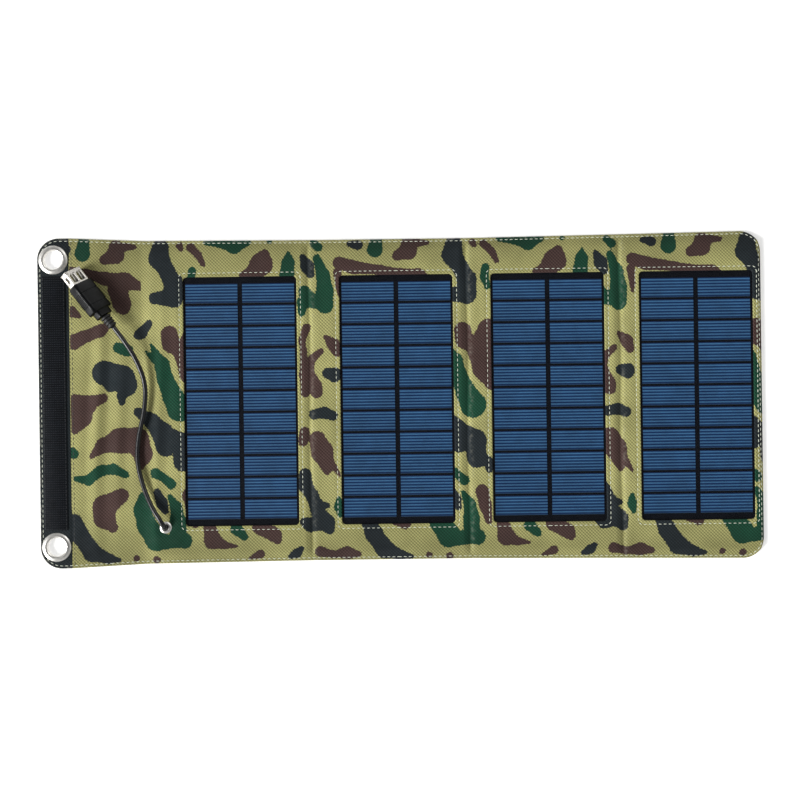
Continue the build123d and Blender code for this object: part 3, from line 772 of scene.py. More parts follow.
CHARCOAL_BLOTS: tuple[Chain, ...] = (
    ((-151, 98, 5.5), (-152, 91, 6.5), (-147, 83, 5), (-143, 75, 5.9), (-143, 66, 6.3)),
    ((-144, 66, 6), (-155, 66, 3.9)), ((-139, 78, 1.9),),
    ((-159, 50, 2.5), (-164, 44, 3.5), (-166, 43, 3.3)),
    ((-188, 19, 7.9), (-177, 15, 8.6), (-174, 11, 7)), ((-184, 11, 4.3),),
    ((-177, 4, 3.3), (-177, 0, 2)),
    ((-167, -6, 2.9), (-158, -12, 5), (-151, -20, 6.9), (-149, -28, 6.5)),
    ((-145, -24, 7), (-139, -27, 7), (-138, -38, 6), (-131, -40, 3), (-130, -45, 2.5)),
    ((-155, -57, 2.5), (-152, -64, 3.6), (-150, -69, 2.2)),
    ((-208, -75, 4.7), (-204, -85, 5.5), (-197, -95, 5.8), (-187, -99, 3.3), (-180, -100, 1.5)),
    ((-61, 91, 2), (-58, 85, 4.2), (-56, 80, 2.8)), ((-217, 99, 2), (-212, 98, 3.5)),
    ((-46, 17, 3.5), (-42, 16, 5)), ((-55, -9, 3.3), (-48, -8, 3.5), (-43, -10, 3.3)),
    ((-61, -47, 4), (-61, -54, 4.4), (-57, -60, 4), (-54, -67, 4.4), (-47, -67, 1.8)),
    ((-54, -70, 4.4), (-48, -78, 5.5), (-46, -82, 3.3)),
    ((-62, -77, 2.9), (-58, -79, 4.4), (-52, -78, 4.7)),
    ((-64, -94, 1.8), (-67, -97, 2.9), (-71, -99, 1.8)),
    ((-100, 43, 3), (-95, 36, 4.5), (-97, 26, 2.5)), ((-92, 6, 3), (-83, 3, 6), (-73, 7, 3.5)),
    ((-116, 3, 4), (-107, -3, 6), (-98, -6, 3)), ((-98, -53, 3), (-92, -60, 4), (-94, -68, 2)),
)


@dataclass(frozen=True)
class CamouflagePrint:
    """The print: blots of three inks, repeated along X."""

    repeat: float = 186.0
    first: float = -224.0
    soften: float = 1.6
    # The most that a distance is taken as, and the most that a blot spans along X.
    far: float = 9.0
    span: float = 60.0
    blots: dict[Ink, tuple[Chain, ...]] = field(
        default_factory=lambda: dict(zip(Ink, (BROWN_BLOTS, GREEN_BLOTS, CHARCOAL_BLOTS)))
    )

    @staticmethod
    def link_distance(x: Array, y: Array, first: tuple, second: tuple) -> Array:
        """Distance from a link of a chain, two discs and what is between them."""
        (ax, ay, ar), (bx, by, br) = first, second
        dx, dy = bx - ax, by - ay
        share = np.clip(((x - ax) * dx + (y - ay) * dy) / max(dx * dx + dy * dy, SLACK), 0, 1)
        return np.hypot(x - ax - share * dx, y - ay - share * dy) - (ar + share * (br - ar))

    def distance(self, ink: Ink, x: Array, y: Array) -> Array:
        """Signed distance from the edge of an ink's blots, below 0 inside them.

        Args:
            ink: The ink.
            x: Places along the cloth.
            y: Places across it.

        Returns:
            The distances, at most as much as counts as far.
        """
        placed = (x - self.first) % self.repeat + self.first
        total = np.full(np.shape(x), self.far)
        for chain in self.blots[ink]:
            links = list(zip(chain[:-1], chain[1:])) or [(chain[0], chain[0])]
            for shift in (-self.repeat, 0.0, self.repeat):
                near = np.abs(placed - shift - chain[0][0]) < self.span
                if not near.any():
                    continue
                px, py = placed[near] - shift, y[near]
                blot = np.full(px.shape, self.far)
                for first, second in links:
                    link = self.link_distance(px, py, first, second)
                    share = np.clip(0.5 + 0.5 * (blot - link) / self.soften, 0, 1)
                    joined = self.soften * share * (1 - share)
                    blot = blot * (1 - share) + link * share - joined
                total[near] = np.minimum(total[near], blot)
        return total


# --- cloth ---


class Side(Enum):
    """Which cloth of the charger a sheet is."""

    FRONT = "front"
    BACK = "back"


@dataclass(frozen=True)
class Panel:
    """A length of cloth that bends across one joint."""

    label: str
    low: float
    high: float
    bodies: tuple[str, str]
    bend: tuple[float, float]
    front_nodes: tuple[str, ...]
    back_nodes: tuple[str, ...]


def panels(layout: Layout, band_lap: float = 24.5) -> list[Panel]:
    """The cloth's five lengths, cut where the least cloth crosses them.

    The band's length goes on past its seam with the flap by band_lap.
    """
    middles = [(low + high) / 2 for low, high in layout.windows]
    cuts = [layout.start, layout.band_seam + band_lap, *middles[:3], layout.end]
    fold_12, fold_23, fold_34 = layout.folds
    # Each panel's name, its bodies, the line it bends about and how far from it the bend goes.
    bends = (
        ("band", ("closure_band", "flap"), layout.band_seam, 2.5),
        ("flap", ("flap", "section_1"), layout.flap_fold, 12.0),
        ("sections_1_2", ("section_1", "section_2"), fold_12, 7.5),
        ("sections_2_3", ("section_2", "section_3"), fold_23, 8.0),
        ("sections_3_4", ("section_3", "section_4"), fold_34, 7.0),
    )
    fronts = (
        ("band_front_cloth",),
        ("flap_front_cloth", "section_1_front_cover"),
        *((f"section_{n}_front_cover",) for n in SECTIONS[1:]),
    )
    backs = (
        ("band_back_cloth",),
        ("flap_back_cloth", "section_1_back_cover"),
        *((f"section_{n}_back_cover",) for n in SECTIONS[1:]),
    )
    made = []
    for bend, low, high, front, back in zip(bends, cuts, cuts[1:], fronts, backs):
        label, bodies, line, reach = bend
        made.append(Panel(label, low, high, bodies, (line - reach, line + reach), front, back))
    return made


@dataclass
class Cloth:
    """The printed cloth of one side, sewn round its edge and, in front, round four windows."""

    layout: Layout
    side: Side
    # Heights of the front's face, from the sections to the hems.
    section_top: float = 4.8
    flap_top: float = 2.6
    band_top: float = 2.5
    film_top: float = 4.24
    exit_top: float = 4.66
    flap_hem_top: float = 2.35
    section_hem_top: float = 3.2
    # Heights of the back's face and of the cloth's outer edge.
    back_level: float = 1.05
    seat: float = 1.6
    # How unevenly the cloth lies on the sections, the flap and the back.
    swell: float = 0.13
    section_waves: float = 0.12
    flap_waves: float = 0.12
    back_waves: float = 0.1
    # Seams: how far in from the edge, how deep, and how wide the groove is.
    hem_inset: float = 1.8
    hem_groove: float = 0.22
    hem_ridge: float = 0.15
    window_inset: float = 2.5
    window_groove: float = 0.25
    band_groove: float = 0.35
    groove: float = 0.8
    window_groove_width: float = 0.75
    # How round the cut edges are.
    hem_round: float = 0.7
    window_round: float = 0.45
    # Radii of the holes that the eyelets' flanges cover.
    eyelet_seat: float = 7.6
    exit_seat: float = 2.8
    # The back's print is the front's, mirrored about half of this place.
    mirror: float = 71.0
    hem_wear: float = 0.8
    fold_wear: float = 0.4
    # Soft folds of the flap: place, height, width, middle and reach along Y.
    soft_folds: tuple[tuple[float, ...], ...] = (
        (-199.0, -0.63, 2.6, -10.0, 60.0),
        (-192.5, 1.19, 3.2, -12.0, 75.0),
        (-186.0, -0.49, 2.6, -5.0, 60.0),
        (-179.0, 0.7, 3.4, -25.0, 50.0),
        (-173.0, -0.42, 2.8, -10.0, 60.0),
        (-157.5, -0.63, 2.2, -5.0, 70.0),
        (-153.0, 0.56, 2.4, -8.0, 70.0),
        (-147.0, -0.28, 2.2, 0.0, 70.0),
    )
    # Grooves and ridges along each fold between sections: place, height and width.
    creases: tuple[tuple[float, float, float], ...] = (
        (0.0, -1.0, 1.5),
        (4.2, 0.3, 2.0),
        (-4.2, 0.2, 2.0),
        (1.9, 0.34, 0.7),
        (-2.5, -0.25, 0.6),
    )
    dip: tuple[float, float] = (0.25, 5.0)
    # A short stray ridge beside each fold: place, height, width, middle and reach along Y.
    stray: tuple[float, ...] = (6.4, 0.22, 0.6, 24.0, 36.0)
    # What the back's cloth is raised by along each fold: height and width.
    back_crease: tuple[float, float] = (0.25, 1.8)

    def __post_init__(self) -> None:
        """Read the fittings' centres from the frame."""
        self.eyelets = [middle_of("upper_eyelet"), middle_of("lower_eyelet")]
        self.exit = middle_of("cable_eyelet")

    @staticmethod
    def waves(x: Array, y: Array) -> Array:
        """Slow unevenness of soft cloth, about 1 either way."""
        slow = np.sin(x / 11.3 + 1.7 * np.sin(y / 23.0)) * np.cos(y / 14.1 + 0.8)
        quick = np.sin(y / 5.3 + 2.1 * np.sin(x / 17.0)) * np.cos(x / 6.7)
        return 0.65 * slow + 0.35 * quick

    def folded(self, x: Array, y: Array) -> Array:
        """What the soft folds add to the height of the flap."""
        total = np.zeros(np.shape(x))
        for place, tall, wide, middle, reach in self.soft_folds:
            wander = x - place - 0.02 * (y - middle) - 1.2 * np.sin(y / 31.0)
            total = total + tall * hump(wander, wide) * hump(y - middle, reach)
        return total

    def creased(self, x: Array, y: Array) -> Array:
        """What the folds between sections add to the height of the front."""
        total = np.zeros(np.shape(x))
        for fold in self.layout.folds:
            wander = x - fold - 0.5 * np.sin(y / 19.0)
            for place, tall, wide in self.creases:
                total = total + tall * hump(wander - place, wide)
            total = total - self.dip[0] * hump(x - fold, self.dip[1])
            place, tall, wide, middle, reach = self.stray
            ridge = hump(wander - place - 0.9 * np.sin(y / 13.0), wide)
            total = total + tall * ridge * hump(y - middle, reach)
        return total

    def front_height(self, x: Array, y: Array) -> Array:
        """Height of the front cloth's face."""
        lay = self.layout
        edge, window = lay.edge_distance(x, y), lay.window_distance(x, y)
        # Shares of the way from the flap up to the sections, and down to the band.
        rise = smooth_step(x, lay.flap_fold - 4.0, lay.flap_fold + 6.0)
        on_band = 1 - smooth_step(x, lay.band_seam - 1.0, lay.band_seam + 3.0)
        waves = self.waves(x, y)
        top = self.flap_top + (self.section_top - self.flap_top) * rise
        top = top - (self.flap_top - self.band_top) * on_band
        full = smooth_step(np.minimum(edge, window), 2.4, 7.5)
        top = top + full * rise * (self.swell + self.section_waves * waves)
        top = top + (1 - rise) * (1 - on_band) * self.flap_waves * waves
        top = top + self.folded(x, y) * (1 - on_band) + self.creased(x, y)
        top = top - self.band_groove * hump(x - lay.band_seam, self.groove)
        seam = hump(window - self.window_inset, self.window_groove_width)
        top = top - self.window_groove * seam
        # The padding thins out towards the hems.
        hem = self.flap_hem_top + (self.section_hem_top - self.flap_hem_top) * rise
        climb = smooth_step(lay.side(x) - np.abs(y), 1.4, 7.0)
        climb = climb * smooth_step(lay.end - x, 0.4, 2.6)
        top = hem + (top - hem) * climb
        top = top - self.hem_groove * hump(edge - self.hem_inset, self.groove)
        from_exit = np.hypot(x - self.exit[0], y - self.exit[1])
        pressed = 1 - smooth_step(from_exit, 4.2, 7.5)
        top = top * (1 - pressed) + self.exit_top * pressed
        top = self.seat + (top - self.seat) * quarter_round(edge, self.hem_round)
        return self.film_top + (top - self.film_top) * quarter_round(window, self.window_round)

    def back_height(self, x: Array, y: Array) -> Array:
        """Height of the back cloth's outer face."""
        lay = self.layout
        edge = lay.edge_distance(x, y)
        waves = self.waves(x + 31.0, -y) * smooth_step(edge, 2.4, 9.0)
        level = self.back_level + self.back_waves * waves
        level = level + self.hem_ridge * hump(edge - self.hem_inset, self.groove)
        tall, wide = self.back_crease
        for fold in (*lay.folds, lay.flap_fold):
            level = level + tall * hump(x - fold, wide)
        return self.seat + (level - self.seat) * quarter_round(edge, self.hem_round)

    def height(self, x: Array, y: Array) -> Array:
        """Height of the cloth's outer face."""
        return self.front_height(x, y) if self.side is Side.FRONT else self.back_height(x, y)

    def grid_lines(self, cuts: list[float]) -> tuple[Array, Array]:
        """Places of the grid's lines along X, and across before the outline draws them in."""
        lay, front = self.layout, self.side is Side.FRONT
        fine, coarse, growth = (0.6, 2.1, 0.12) if front else (1.2, 3.4, 0.2)
        margin_coarse = 1.7 if front else coarse
        # Extra lines close to every edge, and where the outline turns its corners.
        rim = np.array([0.05, 0.16, 0.35, 0.7, 1.2, 1.8, 2.4, 3.0])
        turns = lay.corner * (1 - np.cos(np.radians(np.arange(7.5, 90, 7.5))))
        extra = [lay.start + rim, lay.end - rim, lay.start + turns, lay.end - turns]
        edges: list[float] = []
        if front:
            for low, high in lay.windows:
                edges += [low, high]
                extra += [low - rim, high + rim]
        stops = sorted({*lay.lines, *cuts, *edges, self.exit[0]})
        along = self.merged(graded(stops, fine, coarse, growth), np.concatenate(extra), stops)
        widest = max(lay.half_widths)
        inner = graded([0.0, lay.window_half], fine, coarse, growth)
        outer = graded([lay.window_half, widest], fine, margin_coarse, growth)
        beyond = np.concatenate([widest - rim, lay.window_half + rim * front])
        stops = [0.0, lay.window_half, widest]
        half = self.merged(np.concatenate([inner, outer]), beyond, stops)
        return along, np.concatenate([-half[:0:-1], half])

    @staticmethod
    def merged(lines: Array, extra: Array, stops: list[float], least: float = 0.1) -> Array:
        """Put grid lines together, leaving out any that lie too close, but never a stop.

        The extra lines come first, and may lie three times as close as the even ones.
        """
        kept = sorted(stops)
        for place in sorted([*extra, *lines], key=lambda value: value not in set(extra)):
            if kept[0] < place < kept[-1]:
                spot = int(np.searchsorted(kept, place))
                gap = least if place in lines else least / 3
                if min(place - kept[spot - 1], kept[spot] - place) > gap:
                    kept.insert(spot, float(place))
        return np.array(kept)

    def points(self, along: Array, across: Array) -> tuple[Array, Array]:
        """Where the grid's points lie, with the windows' corners rounded."""
        lay = self.layout
        x, v = np.meshgrid(along, across, indexing="ij")
        widest = max(lay.half_widths)
        share = (np.abs(v) - lay.window_half) / (widest - lay.window_half)
        outer = lay.window_half + share * (lay.half(x) - lay.window_half)
        y = np.where(np.abs(v) > lay.window_half, np.sign(v) * outer, v)
        if self.side is Side.BACK:
            return x, y
        radius = lay.window_corner
        for low, high in lay.windows:
            middle, half = (low + high) / 2, (high - low) / 2
            centre_x = middle + np.sign(x - middle) * (half - radius)
            centre_y = np.sign(y) * (lay.window_half - radius)
            dx, dy = x - centre_x, y - centre_y
            in_corner = (dx * np.sign(x - middle) > 0) & (dy * np.sign(y) > 0)
            in_length = np.abs(x - middle) <= half + SLACK
            in_width = np.abs(y) <= lay.window_half + SLACK
            moved = in_corner & in_length & in_width
            shrink = np.where(moved, radius / np.maximum(np.hypot(dx, dy), SLACK), 1.0)
            x, y = centre_x + dx * shrink, centre_y + dy * shrink
        return x, y

    def kept_faces(self, x: Array, y: Array, along: Array, across: Array) -> Array:
        """Which of the grid's faces are cloth, and not a window or an eyelet's hole.

        x and y are the points' places, and along and across the grid's straight lines.
        """
        lay = self.layout
        line_x, line_y = np.meshgrid(
            (along[:-1] + along[1:]) / 2, (across[:-1] + across[1:]) / 2, indexing="ij"
        )
        face_x = (x[:-1, :-1] + x[1:, 1:]) / 2
        face_y = (y[:-1, :-1] + y[1:, 1:]) / 2
        holes = [(place, self.eyelet_seat) for place in self.eyelets]
        if self.side is Side.FRONT:
            holes.append((self.exit, self.exit_seat))
        kept = np.ones(face_x.shape, bool)
        for place, radius in holes:
            kept &= np.hypot(face_x - place[0], face_y - place[1]) > radius
        if self.side is Side.FRONT:
            for low, high in lay.windows:
                in_length = (line_x > low) & (line_x < high)
                kept &= ~(in_length & (np.abs(line_y) < lay.window_half))
        return kept

    def print_on(
        self, piece: Piece, x: Array, y: Array, camouflage: CamouflagePrint
    ) -> None:
        """Store the print, the wear and the place on the flat cloth on a piece's points."""
        lay = self.layout
        front = self.side is Side.FRONT
        print_x = x if front else self.mirror - x
        # The band is charcoal all over, up to just short of its seam.
        on_band = (x < lay.band_seam - 0.05) & front
        values = {}
        for ink in Ink:
            distance = camouflage.distance(ink, print_x, y)
            if ink is Ink.CHARCOAL:
                distance = np.where(on_band, -3.0, distance)
            elif ink is Ink.BROWN:
                distance = np.where(on_band, camouflage.far, distance)
            values[f"print_{ink.value}"] = distance
        worn = self.hem_wear * hump(lay.edge_distance(x, y), 1.1)
        for fold in lay.folds:
            worn = worn + self.fold_wear * hump(x - fold - 2.0, 1.2)
        values["wear"] = np.clip(worn, 0, 1)
        for name, numbers in values.items():
            layer = piece.data.attributes.new(name, "FLOAT", "POINT")
            layer.data.foreach_set("value", numbers.astype(np.float32))
        layer = piece.data.attributes.new("cloth_place", "FLOAT_VECTOR", "POINT")
        flat = np.stack([x, y, np.zeros(x.shape)], 1) * MM
        layer.data.foreach_set("vector", flat.astype(np.float32).ravel())

    def flat_area(self, panel: Panel) -> tuple[tuple[float, float], float]:
        """A panel's cut size and its area without the windows, in metres."""
        halves = self.layout.half(np.linspace(panel.low, panel.high, SAMPLES))
        width = panel.high - panel.low
        length = 2 * float(np.max(halves))
        area = 2 * float(np.mean(halves)) * width
        if self.side is Side.FRONT:
            for low, high in self.layout.windows:
                shown = max(0.0, min(high, panel.high) - max(low, panel.low))
                area -= shown * 2 * self.layout.window_half
        return (width * MM, length * MM), area * MM * MM

    def build(
        self, finish: Material, camouflage: CamouflagePrint
    ) -> dict[str, Piece]:
        """Make the five panels of this side.

        Args:
            finish: The cloth's material.
            camouflage: The print.

        Returns:
            The pieces by the panels' labels.
        """
        parts = panels(self.layout)
        along, across = self.grid_lines([part.high for part in parts[:-1]])
        x, y = self.points(along, across)
        z = self.height(x, y)
        kept = self.kept_faces(x, y, along, across)
        number = np.arange(x.size).reshape(x.shape)
        made = {}
        for part in parts:
            first, last = np.searchsorted(along, (part.low - SLACK, part.high - SLACK))
            use = kept[first:last]
            block = number[first : last + 1]
            corners = (block[:-1, :-1], block[1:, :-1], block[1:, 1:], block[:-1, 1:])
            quads = np.stack([corner[use] for corner in corners], axis=1)
            if self.side is Side.BACK:
                quads = quads[:, ::-1]
            used, faces = np.unique(quads, return_inverse=True)
            places = np.stack([grid.ravel()[used] for grid in (x, y, z)], 1)
            name = f"{part.label}_{self.side.value}"
            piece = add_mesh(name, places, faces.reshape(-1, 4).tolist(), finish, outward=False)
            self.print_on(piece, places[:, 0], places[:, 1], camouflage)
            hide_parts(*(part.front_nodes if self.side is Side.FRONT else part.back_nodes))
            bend_piece(piece)
            made[part.label] = piece
            LOG.info("%s: %d faces", name, len(faces) // 4)
        return made


def bend_piece(piece: Piece) -> None:
    """Bake a piece's transform into its mesh."""
    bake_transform(piece)


# --- repeated small shapes ---


class NodeRig:
    """A Geometry Nodes tree under construction, with named inputs."""

    def __init__(self, name: str, inputs: dict[str, tuple[str, object]]) -> None:
        """Start a tree; inputs maps each input's name to its socket type and value."""
        self.tree = bpy.data.node_groups.new(name, "GeometryNodeTree")
        self.tree.interface.new_socket("Geometry", in_out="INPUT", socket_type="NodeSocketGeometry")
        self.tree.interface.new_socket("Geometry", in_out="OUTPUT", socket_type="NodeSocketGeometry")
        self.values = {}
        for label, (kind, value) in inputs.items():
            socket = self.tree.interface.new_socket(label, in_out="INPUT", socket_type=kind)
            self.values[socket.identifier] = value
        self.entry = self.tree.nodes.new("NodeGroupInput")
        self.exit = self.tree.nodes.new("NodeGroupOutput")

    def add(
        self, kind: str, links: dict[str, object] | None = None, **settings: object
    ) -> bpy.types.Node:
        """Add a node, set its properties and feed its inputs by name."""
        made = self.tree.nodes.new(kind)
        for name, value in settings.items():
            setattr(made, name, value)
        for label, value in (links or {}).items():
            socket = next(s for s in made.inputs if s.name == label and s.enabled)
            if isinstance(value, Output):
                self.tree.links.new(value, socket)
            else:
                socket.default_value = value
        return made

    def finish(self, geometry: Output) -> None:
        """End the tree in Realize Instances and Set Material."""
        real = self.add("GeometryNodeRealizeInstances", {"Geometry": geometry})
        finish = self.entry.outputs["Finish"]
        dressed = self.add(
            "GeometryNodeSetMaterial", {"Geometry": real.outputs[0], "Material": finish}
        )
        self.tree.links.new(dressed.outputs[0], self.exit.inputs[0])

    def run(self, name: str, guide: Piece) -> Piece:
        """Run the tree on a guide mesh and keep only the plain mesh that it makes."""
        modifier = guide.modifiers.new("rig", "NODES")
        modifier.node_group = self.tree
        for identifier, value in self.values.items():
            modifier[identifier] = value
        bpy.context.view_layer.update()
        depsgraph = bpy.context.evaluated_depsgraph_get()
        mesh = bpy.data.meshes.new_from_object(guide.evaluated_get(depsgraph), depsgraph=depsgraph)
        mesh.name = name
        mesh.polygons.foreach_set("use_smooth", [True] * len(mesh.polygons))
        bpy.data.objects.remove(guide)
        return add_object(name, mesh)


def guide_mesh(name: str, runs: list[Array]) -> Piece:
    """An object of loose edges along runs of points in millimetres."""
    points, edges = [], []
    for run in runs:
        edges += [(len(points) + i, len(points) + i + 1) for i in range(len(run) - 1)]
        points += (np.asarray(run) * MM).tolist()
    mesh = bpy.data.meshes.new(name)
    mesh.from_pydata(points, edges, [])
    return add_object(name, mesh)


@dataclass(frozen=True)
class Stitch:
    """A lock stitch: short rounded lengths of thread, a pitch apart."""

    pitch: float = 3.15
    length: float = 2.05
    thickness: float = 0.44

    def sew(self, name: str, runs: list[Array], thread: Material) -> Piece:
        """Sew along runs of points in millimetres.

        Args:
            name: The piece's name.
            runs: Where the thread goes, each an (n, 3) array.
            thread: The thread's material.

        Returns:
            The stitches as one plain mesh.
        """
        rig = NodeRig(
            "stitches",
            {
                "Pitch": ("NodeSocketFloat", self.pitch * MM),
                "Length": ("NodeSocketFloat", self.length * MM),
                "Thickness": ("NodeSocketFloat", self.thickness * MM),
                "Finish": ("NodeSocketMaterial", thread),
            },
        )
        entry = rig.entry.outputs
        curve = rig.add("GeometryNodeMeshToCurve", {"Mesh": entry["Geometry"]})
        spacing = {"Curve": curve.outputs[0], "Length": entry["Pitch"]}
        even = rig.add("GeometryNodeResampleCurve", spacing, mode="LENGTH")
        tangent = rig.add("GeometryNodeInputTangent")
        turn = rig.add("FunctionNodeAlignRotationToVector", {"Vector": tangent.outputs[0]}, axis="X")
        bead = rig.add("GeometryNodeMeshUVSphere", {"Segments": 6, "Rings": 5, "Radius": 0.5})
        lying = {"Geometry": bead.outputs[0], "Rotation": (0, math.pi / 2, 0)}
        upright = rig.add("GeometryNodeTransform", lying)
        thickness = entry["Thickness"]
        size = rig.add(
            "ShaderNodeCombineXYZ", {"X": entry["Length"], "Y": thickness, "Z": thickness}
        )
        placed = rig.add(
            "GeometryNodeInstanceOnPoints",
            {
                "Points": even.outputs[0],
                "Instance": upright.outputs[0],
                "Rotation": turn.outputs[0],
                "Scale": size.outputs[0],
            },
        )
        rig.finish(placed.outputs[0])
        return rig.run(name, guide_mesh(f"{name}_guide", runs))


@dataclass
class Seams:
    """Where the cloth is stitched."""

    cloth: Cloth
    step: float = 0.9
    # How far the thread's middle stands off the cloth's face.
    proud: float = 0.06
    window_corner: float = 3.0
    # The rows of stitches beside the band's seam, and how far they stop short of the edge.
    band_rows: tuple[float, float] = (-1.3, 1.2)
    band_inset: float = 3.0
    # A shorter run than this many steps isn't sewn.
    least_steps: int = 4

    def outline(self, inset: float) -> Array:
        """The closed line inside the cloth's edge, as (x, y) points."""
        lay = self.cloth.layout
        low, high = lay.start + inset, lay.end - inset
        turns = (lay.corner - inset) * (1 - np.cos(np.radians(np.arange(0, 90, 6))))
        even = np.arange(low, high, self.step)
        xs = np.unique(np.concatenate([even, low + turns, high - turns, [high]]))
        half = lay.half(xs, inset)
        right = np.arange(half[-1], -half[-1], -self.step)
        left = np.arange(-half[0], half[0], self.step)
        return np.concatenate(
            [
                np.stack([xs, half], 1),
                np.stack([np.full(right.shape, high), right], 1),
                np.stack([xs[::-1], -half[::-1]], 1),
                np.stack([np.full(left.shape, low), left], 1),
            ]
        )

    def window_loops(self) -> list[Array]:
        """The line round each window."""
        lay, inset = self.cloth.layout, self.cloth.window_inset
        loops = []
        for low, high in lay.windows:
            width, length = high - low + 2 * inset, 2 * (lay.window_half + inset)
            loop = round_loop(width, length, self.window_corner)
            loop = np.vstack([loop, loop[:1]]) + [(low + high) / 2, 0]
            run = np.concatenate([[0], np.cumsum(np.hypot(*np.diff(loop, axis=0).T))])
            even = np.arange(0, run[-1], self.step)
            loops.append(np.stack([np.interp(even, run, loop[:, axis]) for axis in (0, 1)], 1))
        return loops

    def cross_line(self, x: float, inset: float) -> Array:
        """A straight line across the cloth."""
        half = float(self.cloth.layout.half(np.array(x))) - inset
        ys = np.arange(-half, half, self.step)
        return np.stack([np.full(ys.shape, x), ys], 1)

    def runs_on(self, path: Array, part: Panel) -> list[Array]:
        """The lengths of a path that lie on a panel, laid on the cloth."""
        inside = (path[:, 0] >= part.low) & (path[:, 0] < part.high)
        breaks = np.flatnonzero(np.diff(inside.astype(int))) + 1
        above = self.proud if self.cloth.side is Side.FRONT else -self.proud
        laid = []
        for run in np.split(path, breaks):
            if part.low <= run[0, 0] < part.high and len(run) > self.least_steps:
                z = self.cloth.height(run[:, 0], run[:, 1]) + above
                laid.append(np.column_stack([run, z]))
        return laid

    def build(self, finishes: Finishes) -> dict[str, list[Piece]]:
        """Sew every seam of this side.

        Args:
            finishes: The charger's finishes.

        Returns:
            The stitch pieces on each panel, by its label.
        """
        side, seam = self.cloth.side, self.cloth.layout.band_seam
        pale = [self.outline(self.cloth.hem_inset)]
        dark = [self.cross_line(seam + row, self.band_inset) for row in self.band_rows]
        if side is Side.FRONT:
            pale += self.window_loops()
            dark = dark[1:]
        kinds = (("pale", pale, finishes.thread), ("dark", dark, finishes.dark_thread))
        made: dict[str, list[Piece]] = {}
        for part in panels(self.cloth.layout):
            made[part.label] = []
            for shade, paths, thread in kinds:
                runs = [run for path in paths for run in self.runs_on(path, part)]
                if not runs:
                    continue
                name = f"{part.label}_{side.value}_{shade}_stitches"
                piece = Stitch().sew(name, runs, thread)
                bend_piece(piece)
                made[part.label].append(piece)
                LOG.info("%s: %d faces", name, len(piece.data.polygons))
        return made


# --- what is inside the sections ---


@dataclass
class Padding:
    """The foam ring round each laminate, and the liner in the flap."""

    layout: Layout
    # How far the foam stays inside the cloth, and how wide its sloping rim is.
    hem: float = 2.6
    slope: float = 5.0
    # Heights of its bottom, of its rim and of its top.
    bottom: float = 1.6
    shoulder: float = 2.6
    top: float = 4.05
    corner: float = 2.0
    free_corner: float = 11.0
    pocket_corner: float = 0.5
    crest_share: float = 0.7
    # Its gap round the laminate, and its least width there at the bottom and at the top.
    gap: float = 0.3
    least_width: float = 0.6
    least_crest: float = 0.2
    # How far the liner stays inside its node's box, at the low X, the high X and across.
    liner_insets: tuple[float, float, float] = (2.0, 3.0, 4.0)
    liner_corner: float = 3.0
    # The liner's edge, as insets and heights.
    liner_rings: tuple[tuple[float, float], ...] = ((0.0, 1.45), (0.0, 1.8), (1.0, 1.95))

    @staticmethod
    def ring(low: tuple[float, float], high: tuple[float, float], corner: float, z: float) -> Array:
        """A rounded rectangle between two corners at a height."""
        loop = round_loop(high[0] - low[0], high[1] - low[1], corner)
        loop = loop + [(low[0] + high[0]) / 2, (low[1] + high[1]) / 2]
        return np.column_stack([loop, np.full(len(loop), z)])

    @staticmethod
    def declare(piece: Piece, body: str, node: str) -> None:
        """Attach a padded piece to its body and hide its node."""
        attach(piece, body)
        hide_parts(node)

    def foam(self, number: int, finish: Material) -> None:
        """Make one section's foam ring."""
        cover_low, cover_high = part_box(f"section_{number}_back_cover")
        base_low, base_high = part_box(f"section_{number}_laminate_base")
        inner_low = (base_low.x / MM - self.gap, base_low.y / MM - self.gap)
        inner_high = (base_high.x / MM + self.gap, base_high.y / MM + self.gap)
        narrow = min(self.layout.side(np.array([cover_low.x / MM, cover_high.x / MM]))) - self.hem
        left = min(cover_low.x / MM + self.hem, inner_low[0] - self.least_width)
        right = max(cover_high.x / MM - self.hem, inner_high[0] + self.least_width)
        crest_left = min(left + self.slope, inner_low[0] - self.least_crest)
        crest_right = max(right - self.slope, inner_high[0] + self.least_crest)
        crest_low = (crest_left, self.slope - narrow)
        crest_high = (crest_right, narrow - self.slope)
        corner = self.free_corner if number == SECTIONS[-1] else self.corner
        rings = [
            self.ring((left, -narrow), (right, narrow), corner, self.bottom),
            self.ring((left, -narrow), (right, narrow), corner, self.shoulder),
            self.ring(crest_low, crest_high, corner * self.crest_share, self.top),
            self.ring(inner_low, inner_high, self.pocket_corner, self.top),
            self.ring(inner_low, inner_high, self.pocket_corner, self.bottom),
        ]
        piece = sharpen(add_mesh(f"section_{number}_foam", *loft(rings, closed=True), finish))
        self.declare(piece, f"section_{number}", f"section_{number}_foam_frame")

    def liner(self, finish: Material) -> None:
        """Make the felt liner between the flap's cloths."""
        low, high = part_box("flap_liner")
        left, right, across = self.liner_insets
        x0, x1 = low.x / MM + left, high.x / MM - right
        half = high.y / MM - across
        rings = []
        for inset, z in self.liner_rings:
            near, far = (x0 + inset, inset - half), (x1 - inset, half - inset)
            rings.append(self.ring(near, far, self.liner_corner, z))
        piece = sharpen(add_mesh("flap_felt_liner", *loft(rings), finish))
        self.declare(piece, "flap", "flap_liner")


